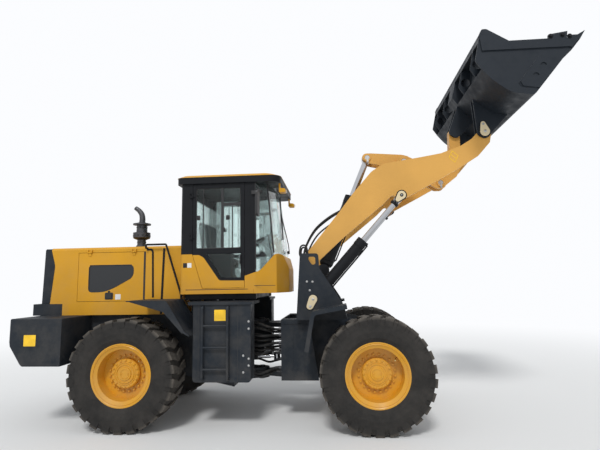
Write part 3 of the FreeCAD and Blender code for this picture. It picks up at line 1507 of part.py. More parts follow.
def offset_turned(body, name, loop, offset):
    """A solid of revolution about the body's own X axis moved sideways."""
    sketch = new_sketch(body, name + "_outline", "side", [loop], offset)
    feature = body.newObject("PartDesign::Revolution", name)
    feature.Profile = sketch
    feature.ReferenceAxis = (sketch, ["H_Axis"])
    feature.Angle = 360
    return feature


def rod_profile(length, radius):
    return [(0, 0), (length, 0), (length, radius), (0, radius)]


def make_lift_cylinders():
    """One cylinder outside each arm; each pair of barrels or rods is one node."""
    x0, z0 = d.lift_base_x, d.lift_base_z
    x1, z1 = d.lift_eye_x, d.lift_eye_z
    inside = d.arm_outer + d.side_gap
    offset = inside + d.gland_rise + d.lift_barrel_radius
    bore = d.lift_rod_radius + d.seat_gap
    half = d.lift_barrel_radius
    barrel = along_pins("lift_barrels", x0, z0, x1, z1)
    tube = offset_turned(barrel, "tube",
                         barrel_profile(d.lift_barrel_length, d.lift_barrel_radius, bore, 55, 56, 130),
                         offset)
    eye = pad(barrel, "eye", "side", [disc(0, 0, d.pin_radius + 36)], offset - half, offset + half)
    mirrored(barrel, "other_barrel", [tube, eye])
    pocket(barrel, "eye_bores", "side", [disc(0, 0, d.pin_radius + d.pin_gap)],
           -offset - half - 5, offset + half + 5)
    rod = along_pins("lift_rods", x1, z1, x0, z0)
    shaft = offset_turned(rod, "shaft", rod_profile(d.lift_rod_length, d.lift_rod_radius), offset)
    eye = pad(rod, "eye", "side",
              [[(-62, -58, 50), (110, -42), (110, 42), (-62, 58, 50)]], inside, offset + half - 20)
    mirrored(rod, "other_rod", [shaft, eye])
    return rod


def make_tilt_cylinder():
    x0, z0 = d.tilt_base_x, d.tilt_base_z
    x1, z1 = d.tilt_eye_x, d.tilt_eye_z
    radius = d.tilt_barrel_radius
    barrel = along_pins("tilt_barrel", x0, z0, x1, z1)
    turned(barrel, "tube", "side", [barrel_profile(d.tilt_barrel_length, radius,
                                                   d.tilt_rod_radius + d.seat_gap, 60, 78, 130)])
    pad(barrel, "eye", "side", [disc(0, 0, d.pin_radius + 40)], -radius, radius)
    pocket(barrel, "eye_bore", "side", [disc(0, 0, d.pin_radius + d.pin_gap)], -radius - 5, radius + 5)
    rod = along_pins("tilt_rod", x1, z1, x0, z0)
    turned(rod, "shaft", "side", [rod_profile(d.tilt_rod_length, d.tilt_rod_radius)])
    reach = d.crank_inner - d.side_gap
    pad(rod, "eye", "side", [disc(0, 0, d.pin_radius + 34)], -reach, reach)
    return rod


def make_steer_cylinder(side, sign):
    """Cylinder between the two frames beside the hinge."""
    x0, y0 = d.steer_base_x, d.steer_base_y * sign
    x1, y1 = d.steer_eye_x, d.steer_eye_y * sign
    up = Vector(0, 0, 1)
    half = d.steer_eye_half
    barrel = new_body(f"steer_barrel_{side}", x0, y0, d.steer_z, up, line_angle(x0, y0, x1, y1))
    turned(barrel, "tube", "side",
           [barrel_profile(d.steer_barrel_length, d.steer_barrel_radius, d.steer_rod_radius + d.seat_gap,
                           40, half, 78)])
    pad(barrel, "eye", "plan", [disc(0, 0, d.steer_pin_radius + 28)], -half, half)
    pocket(barrel, "eye_bore", "plan", [disc(0, 0, d.steer_pin_radius + d.pin_gap)], -half - 5, half + 5)
    rod = new_body(f"steer_rod_{side}", x1, y1, d.steer_z, up, line_angle(x1, y1, x0, y0))
    turned(rod, "shaft", "side", [rod_profile(d.steer_rod_length, d.steer_rod_radius)])
    pad(rod, "eye", "plan", [disc(0, 0, d.steer_pin_radius + 22)], -half, half)
    return rod


# Bucket

# Corners given from the bucket's pin: name, across, up, rounding.
SIDE_PLATE = (
    ("lip", 1013, 975, 0), ("heel", 384, 211, 60), ("low back", 132, 247, 300), ("back", -78, 411, 500),
    ("beam edge", -189, 546, 0), ("beam corner", -267, 666, 12), ("spill foot", -206, 945, 60),
    ("horn back", -206, 985, 0), ("horn top", -174, 1053, 30), ("horn crest", -118, 1053, 40),
    ("horn front", 133, 888, 0), ("cutter gap", 815, 886, 0), ("tooth back", 834, 925, 0),
    ("tooth front", 924, 924, 0),
)
BOWL = (
    ("lip", 1013, 975, 0), ("heel", 384, 211, 60), ("low back", 132, 247, 300), ("back", -78, 411, 290),
    ("top back", -103, 1145, 0), ("top front", 1082, 1145, 0),
)
BOWL_OPEN_SIDES = (4, 5)
SPILL_GAP = (
    ("flange foot", -190, 920, 0), ("bowl side", -60, 920, 0), ("bowl top", -60, 1150, 0),
    ("outside top", -240, 1150, 0), ("outside", -240, 990, 0), ("flange top", -190, 990, 0),
)
BEAM_CHANNEL = (
    ("outside low", -320, 563, 0), ("shell low", -87, 563, 0), ("shell high", -97, 897, 0),
    ("outside high", -320, 897, 0),
)
RIM_STRIP = (
    ("tail", -184, 783, 0), ("front", 812, 774, 0), ("toe", 844, 762, 0), ("tooth", 926, 878, 0),
    ("cutter gap", 815, 886, 0), ("horn front", 133, 888, 0), ("horn crest", -118, 1053, 40),
    ("horn top", -174, 1053, 30), ("horn back", -206, 985, 0),
)
WEAR_PLATE = (
    ("top", 463, 678, 15), ("tail", 231, 379, 20), ("low tail", 259, 320, 25), ("low front", 442, 290, 0),
    ("front", 697, 600, 0),
)
SIDE_CUTTER = (("low tail", 584, 850, 0), ("tail", 591, 937, 0), ("front", 805, 966, 0), ("low front", 790, 850, 0))
BASE_EDGE = (
    ("inside tail", 817, 737, 0), ("tail", 836, 732, 0), ("bevel", 944, 863, 0), ("lip", 1013, 975, 0),
    ("inside front", 922, 880, 0),
)


def from_bucket_pin(rows):
    """A loop from a table of corners given from the bucket's pin."""
    loop = []
    for name, across, up, rounding in rows:
        corner = (d.bucket_x + across, d.bucket_z + up)
        loop.append((*corner, rounding) if rounding else corner)
    return loop


def moon(across, up):
    """Half-round slot of a wear plate."""
    x = d.bucket_x + across
    z = d.bucket_z + up
    reach = 36
    return [(x - reach, z), (x + reach, z), (x + reach, z + reach, reach - 0.5), (x - reach, z + reach, reach - 0.5)]


def make_bucket():
    """Bucket with its curved back, side plates, gusseted spill beam, cutting edge and hinge ears."""
    body = new_body("bucket")
    half = d.bucket_half - d.rim_strip_wall
    wall = d.bucket_wall
    inside = half - wall
    pad(body, "block", "side", [from_bucket_pin(SIDE_PLATE)], -half, half)
    pad(body, "base_edge", "side", [from_bucket_pin(BASE_EDGE)], -half, half)
    add_bucket_ears(body)
    pocket(body, "bowl", "side", [inset(from_bucket_pin(BOWL), wall, BOWL_OPEN_SIDES)], -inside, inside)
    pocket(body, "spill_gap", "side", [from_bucket_pin(SPILL_GAP)], -inside, inside)
    channel = from_bucket_pin(BEAM_CHANNEL)
    hole = disc(d.bucket_x - 172, d.bucket_z + 728, d.gusset_hole_radius)
    thick = d.gusset_wall / 2
    bays = (
        ("middle", d.beam_block_half, d.gusset_near - thick),
        ("outer", d.gusset_near + thick, d.gusset_far - thick),
        ("end", d.gusset_far + thick, inside),
    )
    for name, low, high in bays:
        pocket(body, name + "_bay_left", "side", [channel], low, high)
        pocket(body, name + "_bay_right", "side", [channel], -high, -low)
    pocket(body, "holes_left", "side", [hole], d.gusset_near - thick - 5, d.gusset_far + thick + 5)
    pocket(body, "holes_right", "side", [hole], -d.gusset_far - thick - 5, -d.gusset_near + thick + 5)
    strip = pad(body, "rim_strip", "side", [from_bucket_pin(RIM_STRIP)], half - 1, d.bucket_half)
    wear = pad(body, "wear_plate", "side", [from_bucket_pin(WEAR_PLATE), moon(506, 562), moon(412, 440)],
               half - 1, half + d.wear_plate_wall)
    cutter = pad(body, "side_cutter", "side", [from_bucket_pin(SIDE_CUTTER)], half - wall + 2, d.bucket_half)
    mirrored(body, "other_side", [strip, wear, cutter])
    return body


def add_bucket_ears(body):
    """Ears for the arms and the link, with the pins that they hold."""
    bx, bz = d.bucket_x, d.bucket_z
    ear = [
        (bx - 85, bz - 30, 70), (bx + 30, bz - 100, 70), (bx + 110, bz + 10, 70), (bx + 332, bz + 245),
        (bx + 182, bz + 305), (bx - 60, bz + 468), (bx - 118, bz + 465),
    ]
    inner = d.arm_outer - d.arm_wall - d.ear_gap
    outer = d.arm_outer + d.ear_gap
    ears = [
        pad(body, "inner_ear", "side", [ear], inner - d.bucket_ear_wall, inner),
        pad(body, "outer_ear", "side", [ear], outer, outer + d.bucket_ear_wall),
        pad(body, "bucket_pin", "side", [disc(bx, bz, d.pin_radius)], inner - 30, outer + 30),
    ]
    ix, iz = d.link_top_x, d.link_top_z
    crown = [
        (ix - 90, iz - 10, 70), (ix + 20, iz - 90, 70), (ix + 110, iz - 10), (bx + 52, bz + 345),
        (bx - 85, bz + 560), (bx - 189, bz + 560),
    ]
    ears.append(pad(body, "link_ear", "side", [crown], d.crank_inner + 4, d.crank_inner + 34))
    mirrored(body, "other_ears", ears)


def build():
    make_rear_frame()
    make_counterweight()
    make_hood()
    for side, sign in (("right", -1), ("left", 1)):
        make_hood_door(f"hood_door_{side}", sign)
        make_hood_vent(f"hood_vent_{side}", sign)
        make_door_panel(f"cab_door_panel_{side}", sign)
        make_door_frame(f"cab_door_frame_{side}", sign)
        make_door_glass(f"cab_door_glass_{side}", sign)
        make_steer_cylinder(side, sign)
    make_rear_grille()
    make_radiator()
    make_engine()
    make_exhaust()
    make_exhaust_tail()
    make_cab_tub()
    make_cab_frame()
    make_cab_glass()
    make_cab_visor()
    make_cab_roof()
    make_seat()
    make_console()
    make_steering_wheel()
    make_side_tanks()
    make_ladders()
    make_rear_fenders()
    make_handrails()
    make_mirrors()
    make_roof_lamps()
    make_rear_lamps()
    make_axles()
    make_wheels()
    make_front_frame()
    make_front_fenders()
    make_boom()
    make_bell_crank()
    make_bucket_link()
    make_lift_cylinders()
    make_tilt_cylinder()
    make_bucket()


def write_parts():
    doc.recompute()
    failed = [item.Name for item in doc.Objects if {"Invalid", "Error"} & set(item.State)]
    for node in NODES:
        if node.Shape.isNull() or not node.Shape.isValid():
            failed.append(node.Label)
    if failed:
        raise ValueError(f"failed: {failed}")
    os.makedirs("parts", exist_ok=True)
    for node in NODES:
        node.Shape.exportStep(f"parts/{node.Label}.step")


build()
write_parts()
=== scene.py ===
import json
import math

import bmesh
import bpy
from mathutils import Matrix, Vector


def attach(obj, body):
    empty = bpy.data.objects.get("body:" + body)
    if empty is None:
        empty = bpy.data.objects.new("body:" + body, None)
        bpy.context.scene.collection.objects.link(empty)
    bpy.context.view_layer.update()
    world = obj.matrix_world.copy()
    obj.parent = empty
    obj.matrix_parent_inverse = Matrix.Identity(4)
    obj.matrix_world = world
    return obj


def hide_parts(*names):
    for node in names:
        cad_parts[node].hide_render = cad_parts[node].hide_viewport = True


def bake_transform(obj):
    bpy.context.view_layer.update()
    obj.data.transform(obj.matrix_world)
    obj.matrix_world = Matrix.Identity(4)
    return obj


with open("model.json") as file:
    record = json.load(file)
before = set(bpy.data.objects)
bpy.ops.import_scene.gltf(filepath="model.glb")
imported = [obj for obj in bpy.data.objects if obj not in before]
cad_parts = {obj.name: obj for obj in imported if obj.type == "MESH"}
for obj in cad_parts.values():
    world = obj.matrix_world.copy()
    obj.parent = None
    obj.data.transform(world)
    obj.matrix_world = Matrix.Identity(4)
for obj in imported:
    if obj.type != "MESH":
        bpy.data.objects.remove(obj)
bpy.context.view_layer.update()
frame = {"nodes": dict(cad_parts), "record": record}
nodes = frame["nodes"]

# Places on the machine, in metres, as in the part's source.
SHIFT = -0.498
WHEELBASE = 3.040
TRACK = 1.850
TYRE_RADIUS = 0.665
LUG_DEPTH = 0.040
# Faces of both sides, as distances from the middle plane.
HOOD_FACE = 0.520
DOOR_FACE = 0.720
WINDOW_FACE = 0.704
TAIL_FACE = 1.100
TANK_FACE = 0.985
TOWER_FACE = 0.702
FRAME_FACE = 0.580
BUCKET_EAR_FACE = 0.584
LIFT_EYE_FACE = 0.652
BUCKET_FACE = 1.230
DISC_FACE = TRACK / 2 + 0.002
HUB_FACE = TRACK / 2 + 0.062
LOCK_RING_FACE = TRACK / 2 + 0.163
# Pins of the linkage, as (X, Z).
PINS = {
    "bucket": (3.068, 3.655), "lift_base": (0.775, 1.520), "lift_eye": (1.945, 2.830), "tilt_base": (0.895, 1.904),
    "tilt_eye": (1.563, 3.498), "crank": (2.073, 3.405), "link_low": (2.575, 3.093),
}


def at(x, y, z):
    """A point given from the pivot, in the model's frame."""
    return Vector((x + SHIFT, y, z))


# Materials

def feed(node, inputs):
    """Sets a node's inputs by name or number: a socket is linked, a value is written."""
    for key, value in inputs.items():
        socket = node.inputs[key]
        if isinstance(value, bpy.types.NodeSocket):
            node.id_data.links.new(value, socket)
        else:
            socket.default_value = (*value, 1) if socket.type == "RGBA" else value


def add(tree, kind, inputs, **settings):
    """Adds a shader node and gives its outputs."""
    node = tree.nodes.new(f"ShaderNode{kind}")
    for key, value in settings.items():
        setattr(node, key, value)
    feed(node, inputs)
    return node.outputs


def new_material():
    """A material, to be named later, with its node tree and its shader."""
    material = bpy.data.materials.new("finish")
    material.use_nodes = True
    tree = material.node_tree
    return material, tree, tree.nodes["Principled BSDF"]


def coords(tree):
    """The point's place in the part's own coordinates."""
    return add(tree, "TexCoord", {})["Object"]


def noise(tree, scale, detail=4.0, roughness=0.55, stretch=(1, 1, 1)):
    """Noise over the part's own coordinates."""
    mapping = add(tree, "Mapping", {"Vector": coords(tree), "Scale": stretch})
    return add(tree, "TexNoise", {
        "Vector": mapping["Vector"], "Scale": scale, "Detail": detail, "Roughness": roughness,
    })["Fac"]


def ramp(tree, source, low, first, high, last):
    """Colour that runs from first at low to last at high."""
    node = tree.nodes.new("ShaderNodeValToRGB")
    feed(node, {"Fac": source})
    for element, position, colour in zip(node.color_ramp.elements, (low, high), (first, last)):
        element.position = position
        element.color = (*colour, 1)
    return node.outputs["Color"]


def grey(value):
    return (value, value, value)


def shade(colour, share):
    """A darker or lighter tone of a colour."""
    return tuple(c * share for c in colour)


def mix(tree, factor, first, second):
    return add(tree, "Mix", {0: factor, 6: first, 7: second}, data_type="RGBA")[2]


def calculate(tree, operation, first, second):
    return add(tree, "Math", {0: first, 1: second}, operation=operation)[0]


def times(tree, first, second):
    return calculate(tree, "MULTIPLY", first, second)


def spread(tree, source, limits, results=(0.0, 1.0), **settings):
    """A value carried from one range to another."""
    return add(tree, "MapRange", {
        "Value": source, "From Min": limits[0], "From Max": limits[1], "To Min": results[0], "To Max": results[1],
    }, **settings)["Result"]


def bump(tree, height, strength, distance):
    return add(tree, "Bump", {"Height": height, "Strength": strength, "Distance": distance})["Normal"]


def paint(colour, roughness=0.34, shine=0.4, coat=0.12, dust=0.35):
    """Machine paint: slight colour drift, orange-peel ripple, and dust low down."""
    material, tree, shader = new_material()
    base = ramp(tree, noise(tree, 1.7, 6.0), 0.3, shade(colour, 0.90), 0.7, shade(colour, 1.05))
    specks = ramp(tree, noise(tree, 55.0, 8.0, 0.7), 0.62, grey(0), 0.74, grey(1))
    height = add(tree, "SeparateXYZ", {"Vector": coords(tree)})["Z"]
    low = spread(tree, height, (0.3, 2.6), (1.0, 0.0))
    patches = ramp(tree, noise(tree, 3.1, 8.0, 0.65), 0.42, grey(0), 0.72, grey(1))
    dirt = times(tree, times(tree, low, patches), dust)
    tone = mix(tree, times(tree, specks, 0.12), base, shade(colour, 0.6))
    gloss = ramp(tree, noise(tree, 9.0, 5.0), 0.3, grey(roughness * 0.8), 0.75, grey(min(1, roughness * 1.5)))
    feed(shader, {
        "Base Color": mix(tree, dirt, tone, (0.30, 0.26, 0.21)), "Roughness": gloss,
        "Specular IOR Level": shine, "Coat Weight": coat, "Coat Roughness": 0.15,
        "Normal": bump(tree, noise(tree, 160.0, 2.0), 0.05, 0.0008),
    })
    return material


def tread_mask(tree):
    """1 on the lugs' outer faces, 0 on the side walls: distance from the nearest axle's centre."""
    split = add(tree, "SeparateXYZ", {"Vector": coords(tree)})
    across = split["X"]
    for operation, value in (("SUBTRACT", SHIFT), ("ABSOLUTE", 0.0), ("SUBTRACT", WHEELBASE / 2)):
        across = calculate(tree, operation, across, value)
    up = calculate(tree, "SUBTRACT", split["Z"], TYRE_RADIUS)
    flat = add(tree, "CombineXYZ", {"X": across, "Y": up})
    reach = add(tree, "VectorMath", {0: flat[0]}, operation="LENGTH")
    return spread(tree, reach["Value"], (TYRE_RADIUS - LUG_DEPTH, TYRE_RADIUS - 0.004))


def tyre():
    """Dark side walls, and worn, dusty lugs."""
    material, tree, shader = new_material()
    wall = ramp(tree, noise(tree, 5.0, 8.0, 0.7), 0.35, (0.020, 0.019, 0.018), 0.75, (0.045, 0.041, 0.037))
    worn = ramp(tree, noise(tree, 16.0, 9.0, 0.7), 0.32, (0.060, 0.053, 0.046), 0.70, (0.165, 0.145, 0.122))
    feed(shader, {
        "Base Color": mix(tree, times(tree, tread_mask(tree), 0.85), wall, worn), "Roughness": 0.8,
        "Specular IOR Level": 0.25, "Normal": bump(tree, noise(tree, 110.0, 6.0, 0.6), 0.3, 0.002),
    })
    return material


def perforated(colour):
    """Sheet with a close pattern of small holes."""
    material, tree, shader = new_material()
    cells = add(tree, "TexVoronoi", {"Vector": coords(tree), "Scale": 75.0, "Randomness": 0.0})
    distance = cells["Distance"]
    holes = ramp(tree, distance, 0.30, shade(colour, 0.25), 0.42, colour)
    feed(shader, {"Base Color": holes, "Roughness": 0.45, "Normal": bump(tree, distance, 0.5, 0.002)})
    return material


def rubber(colour, roughness, scale):
    """Hose rubber with a little dust."""
    material, tree, shader = new_material()
    base = ramp(tree, noise(tree, 6.0, 8.0, 0.7), 0.35, colour, 0.75, shade(colour, 1.7))
    dusty = ramp(tree, noise(tree, 14.0, 10.0, 0.7), 0.48, grey(0), 0.75, grey(1))
    tone = mix(tree, times(tree, dusty, 0.25), base, (0.22, 0.20, 0.18))
    feed(shader, {
        "Base Color": tone, "Roughness": roughness, "Specular IOR Level": 0.3,
        "Normal": bump(tree, noise(tree, scale, 6.0, 0.6), 0.25, 0.002),
    })
    return material


def plastic(colour, roughness=0.5):
    material, tree, shader = new_material()
    base = ramp(tree, noise(tree, 8.0, 4.0), 0.3, shade(colour, 0.85), 0.7, shade(colour, 1.2))
    ripple = bump(tree, noise(tree, 300.0, 2.0), 0.15, 0.0006)
    feed(shader, {"Base Color": base, "Roughness": roughness, "Normal": ripple})
    return material


def metal(colour, roughness):
    material, tree, shader = new_material()
    base = ramp(tree, noise(tree, 5.0, 5.0), 0.3, shade(colour, 0.85), 0.7, colour)
    rough = ramp(tree, noise(tree, 60.0, 4.0, 0.6), 0.3, grey(roughness * 0.6), 0.7, grey(min(1, roughness * 1.6)))
    feed(shader, {"Base Color": base, "Metallic": 1.0, "Roughness": rough})
    return material


def cast(colour):
    material, tree, shader = new_material()
    base = ramp(tree, noise(tree, 7.0, 8.0, 0.7), 0.3, shade(colour, 0.6), 0.7, colour)
    pits = bump(tree, noise(tree, 120.0, 6.0, 0.7), 0.4, 0.003)
    feed(shader, {"Base Color": base, "Roughness": 0.7, "Metallic": 0.3, "Normal": pits})
    return material


def glass(tint):
    material, tree, shader = new_material()
    streaks = ramp(tree, noise(tree, 3.0, 6.0, 0.6, (1, 1, 0.3)), 0.35, grey(0.02), 0.8, grey(0.10))
    feed(shader, {"Base Color": tint, "Roughness": streaks, "Transmission Weight": 1.0, "IOR": 1.45, "Alpha": 0.45})
    return material


def fabric(colour):
    material, tree, shader = new_material()
    weave = add(tree, "TexWave", {"Vector": coords(tree), "Scale": 160.0})
    tone = ramp(tree, noise(tree, 30.0, 6.0), 0.3, shade(colour, 0.7), 0.7, shade(colour, 1.3))
    threads = bump(tree, weave["Fac"], 0.3, 0.001)
    feed(shader, {"Base Color": tone, "Roughness": 0.9, "Sheen Weight": 0.3, "Normal": threads})
    return material


YELLOW = (0.66, 0.325, 0.018)
CREAM = (0.70, 0.375, 0.085)
SLATE = (0.014, 0.019, 0.026)

MATERIALS = {
    "yellow_paint": paint(YELLOW, 0.42, 0.25, 0.03),
    "cream_yellow_paint": paint(CREAM, 0.42, 0.3, 0.05, dust=0.1),
    "slate_paint": paint(SLATE, 0.50, 0.25, 0.0, dust=0.18),
    "black_paint": paint((0.010, 0.011, 0.013), 0.45, 0.15, 0.0, dust=0.03),
    # Black plastic; also the colour of the thin lines painted as shade on the tub and the tanks.
    "black_plastic": plastic((0.015, 0.015, 0.016)),
    "tyre_rubber": tyre(),
    "rim_yellow": paint((0.70, 0.335, 0.016), 0.40, dust=0.25),
    "cast_grey": cast((0.10, 0.105, 0.11)),
    "chrome": metal((0.50, 0.51, 0.53), 0.14),
    "window_glass": glass((0.58, 0.80, 0.77)),
    "seat_fabric": fabric((0.10, 0.105, 0.11)),
    "exhaust_steel": metal((0.10, 0.10, 0.105), 0.5),
    "hose_rubber": rubber((0.012, 0.012, 0.012), 0.5, 200.0),
    "lamp_red": plastic((0.40, 0.02, 0.02), 0.2),
    "zinc": metal((0.50, 0.50, 0.49), 0.38),
    "brass": metal((0.62, 0.48, 0.22), 0.3),
    "keeper_cream": paint((0.74, 0.62, 0.40), 0.4, dust=0.0),
    "vent_mesh": perforated((0.016, 0.018, 0.021)),
    "white_label": plastic((0.75, 0.75, 0.73), 0.4),
    "sign_yellow": plastic((0.90, 0.55, 0.02), 0.4),
    "lens_glass": glass((0.92, 0.95, 0.95)),
}
OTHER_NAMES = {"cream_yellow_paint": "boom_paint", "rim_yellow": "rim_paint", "keeper_cream": "keeper_paint"}

for slot, material in MATERIALS.items():
    material.name = f"{OTHER_NAMES.get(slot, slot)}_finish"

for part in frame["record"]["subparts"]:
    mesh = nodes[part["node"]].data
    mesh.materials.clear()
    mesh.materials.append(MATERIALS["vent_mesh" if "hood_vent" in part["node"] else part["material_slot"]])


# Shapes

SIDES = (-1, 1)
SIDE_NAMES = {-1: "right", 1: "left"}
UP = (0, 0, 1)


def both_sides(reach):
    """For each side: the sign of Y, the Y of its face at that reach, and the direction out."""
    return [(sign, sign * reach, (0, sign, 0)) for sign in SIDES]


def place(plane, across, up, level):
    """A point of a plane at a level: side is (X, Z) along Y, end is (Y, Z) along X, plan is (X, Y) along Z."""
    return at(*{"side": (across, level, up), "end": (level, across, up), "plan": (across, up, level)}[plane])


def rounded(loop, radius):
    """The loop with its corners rounded by one radius or by one each, which its edges may limit."""
    points = []
    count = len(loop)
    radii = radius if isinstance(radius, tuple) else (radius,) * count
    for index in range(count):
        corner = Vector(loop[index])
        before = Vector(loop[index - 1]) - corner
        after = Vector(loop[(index + 1) % count]) - corner
        reach = min(radii[index], before.length * 0.45, after.length * 0.45)
        first = corner + before.normalized() * reach
        last = corner + after.normalized() * reach
        for t in (0.0, 0.2, 0.4, 0.6, 0.8, 1.0):
            points.append(tuple(first * (1 - t) ** 2 + corner * 2 * t * (1 - t) + last * t * t))
    return points


def oblong(left, low, right, high, radius=0.0):
    """Rectangle, with its corners rounded if a radius is given."""
    loop = [(left, low), (right, low), (right, high), (left, high)]
    return rounded(loop, radius) if radius else loop


def teardrop(across, up, radius, tip, tip_radius):
    """Disc drawn out to a smaller rounded end at tip."""
    away = Vector(tip) - Vector((across, up))
    angle = math.atan2(away.y, away.x)
    loop = []
    for middle, size, first, span, steps in (((across, up), radius, 80, 200, 16), (tip, tip_radius, -80, 160, 8)):
        for step in range(steps + 1):
            turn = angle + math.radians(first) + math.radians(span) * step / steps
            loop.append((middle[0] + size * math.cos(turn), middle[1] + size * math.sin(turn)))
    return loop


def skin(shape, rings, close=True):
    """Faces from ring to ring, with a cap on both ends if close."""
    count = len(rings[0])
    for lower, upper in zip(rings, rings[1:]):
        for index in range(count):
            other = (index + 1) % count
            shape.faces.new((lower[index], lower[other], upper[other], upper[index]))
    if close:
        shape.faces.new(rings[0][::-1])
        shape.faces.new(rings[-1])


def slab(shape, plane, loop, low, high, edge=0.0):
    """A loop thickened between two levels, its rims softened by edge."""
    rings = []
    levels = [(low, 0.0), (high, 0.0)]
    if edge:
        lean = math.copysign(edge, high - low)
        levels = [(low, edge), (low + lean, 0.0), (high - lean, 0.0), (high, edge)]
    middle = Vector((sum(p[0] for p in loop) / len(loop), sum(p[1] for p in loop) / len(loop)))
    for level, inset in levels:
        offsets = [Vector(point) - middle for point in loop]
        shrunk = [middle + o * max(0.0, 1 - inset / max(o.length, 1e-6)) for o in offsets]
        rings.append([shape.verts.new(place(plane, spot.x, spot.y, level)) for spot in shrunk])
    skin(shape, rings)


def raised(shape, loop, face, bottom, top, edge=0.0):
    """A slab on a face of the machine's side, between two heights out of that face."""
    out = math.copysign(1, face)
    slab(shape, "side", loop, face + out * bottom, face + out * top, edge)


def collar(shape, plane, outer, inner, low, high):
    """Flat ring between two loops that have as many points."""
    rings = [[shape.verts.new(place(plane, p[0], p[1], level)) for p in loop]
             for loop, level in ((outer, low), (outer, high), (inner, high), (inner, low))]
    skin(shape, rings + rings[:1], close=False)


def ribbon(points, width):
    """Outline of a strip of even width along a line of points."""
    left, right = [], []
    for index, point in enumerate(points):
        here = Vector(point)
        before = here - Vector(points[index - 1]) if index else Vector(points[1]) - here
        after = Vector(points[index + 1]) - here if index + 1 < len(points) else before
        ahead = (before.normalized() + after.normalized()).normalized()
        across = Vector((-ahead.y, ahead.x)) * width / 2 / max(0.4, ahead.dot(after.normalized()))
        left.append(tuple(here + across))
        right.append(tuple(here - across))
    return left + right[::-1]


def frame_along(ahead):
    """Two directions square to a heading."""
    helper = Vector((0, 0, 1)) if abs(ahead.z) < 0.9 else Vector((1, 0, 0))
    first = ahead.cross(helper).normalized()
    return first, ahead.cross(first).normalized()


def circle(shape, middle, first, second, radius, sides):
    """Ring of vertices in the plane of two directions."""
    turns = [math.tau * step / sides for step in range(sides)]
    return [shape.verts.new(middle + (first * math.cos(t) + second * math.sin(t)) * radius) for t in turns]


def turned(shape, base, ahead, profile, sides=20, close=True):
    """Surface of revolution: profile is (distance along ahead, radius) pairs."""
    ahead = Vector(ahead).normalized()
    first, second = frame_along(ahead)
    rings = [circle(shape, Vector(base) + ahead * distance, first, second, radius, sides)
             for distance, radius in profile]
    skin(shape, rings, close)


def stud(shape, base, ahead, radius, wall, top, rim, sides):
    """Round or many-sided head: straight up to wall, then drawn in to rim at top."""
    turned(shape, base, ahead, [(0, radius), (wall, radius), (top, rim)], sides)


def bolt(shape, base, ahead, radius, rise=None):
    """Hexagon head on a washer."""
    rise = rise or radius * 0.9
    washer = radius * 1.7
    turned(shape, base, ahead, [(-0.002, washer), (radius * 0.22, washer), (radius * 0.3, radius * 1.6)], 16)
    head = Vector(base) + Vector(ahead).normalized() * radius * 0.3
    stud(shape, head, ahead, radius * 1.12, rise * 0.85, rise, radius * 0.92, 6)


def smooth_line(points, spacing):
    """Points along a smooth line through the given ones."""
    spots = [Vector(p) for p in points]
    ends = [spots[0] * 2 - spots[1]] + spots + [spots[-1] * 2 - spots[-2]]
    line = [spots[0]]
    for a, b, c, e in zip(ends, ends[1:], ends[2:], ends[3:]):
        steps = max(2, round((c - b).length / spacing))
        for step in range(1, steps + 1):
            t = step / steps
            line.append(0.5 * ((2 * b) + (c - a) * t + (2 * a - 5 * b + 4 * c - e) * t * t
                               + (3 * b - a - 3 * c + e) * t * t * t))
    return line


def hose(shape, points, radius, sides=12, guard=0.0, spacing=0.012):
    """Round hose along a smooth line; guard is the height of a spiral sleeve's turns."""
    line = smooth_line(points, spacing)
    sweep(shape, line, [radius + (guard if index % 2 else 0.0) for index in range(len(line))], sides)


def cord(shape, loop, level, radius, spacing):
    """Round bead along a closed loop on the machine's side."""
    hose(shape, [at(across, level, up) for across, up in loop + loop[:1]], radius, 6, spacing=spacing)


def sweep(shape, line, radii, sides):
    """Round tube along a line of points, with its radius at each."""
    ahead = (line[1] - line[0]).normalized()
    first, second = frame_along(ahead)
    rings = []
    for index, (spot, radius) in enumerate(zip(line, radii)):
        following = (line[min(index + 1, len(line) - 1)] - line[max(index - 1, 0)]).normalized()
        turn = ahead.rotation_difference(following)
        first, second, ahead = turn @ first, turn @ second, following
        rings.append(circle(shape, spot, first, second, radius, sides))
    skin(shape, rings)


def fitting(shape, spot, ahead, radius):
    """Crimped ferrule with its hexagon nut, at a hose's end."""
    turned(shape, spot, ahead, [
        (0, radius * 1.05), (0.004, radius * 1.3), (radius * 2.2, radius * 1.3), (radius * 2.4, radius),
    ], 14)
    nut = Vector(spot) + Vector(ahead).normalized() * radius * 2.4
    stud(shape, nut, ahead, radius * 1.35, radius * 1.1, radius * 1.2, radius * 1.2, 6)


def new_shapes(count):
    return [bmesh.new() for _ in range(count)]


SHARP_ANGLE = math.radians(35.0)


def piece(name, shape, body, slot):
    """Makes an object of the shape, with its finish, riding on a body."""
    bmesh.ops.recalc_face_normals(shape, faces=shape.faces)
    mesh = bpy.data.meshes.new(name)
    shape.to_mesh(mesh)
    shape.free()
    mesh.materials.append(MATERIALS[slot])
    mesh.shade_smooth()
    mesh.set_sharp_from_angle(angle=SHARP_ANGLE)
    thing = bpy.data.objects.new(name, mesh)
    bpy.context.collection.objects.link(thing)
    if body:
        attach(thing, body)
    return thing


# Hood and tail

BANDS = (
    # whether the door carries it, width, points (X, Z)
    (True, 0.025, ((-1.5195, 2.186), (-1.5180, 1.526))),
    (False, 0.026, ((-1.494, 2.214), (-1.440, 2.214), (-1.418, 2.205), (-1.408, 2.175), (-1.391, 1.565))),
    (False, 0.030, ((-1.249, 2.226), (-1.275, 1.346))),
)
VENT = ((-2.307, 1.650), (-2.100, 1.650), (-1.954, 1.698), (-1.674, 1.848), (-1.674, 2.012), (-2.307, 2.014))
VENT_CORNERS = (0.060, 0.070, 0.090, 0.120, 0.070, 0.050)


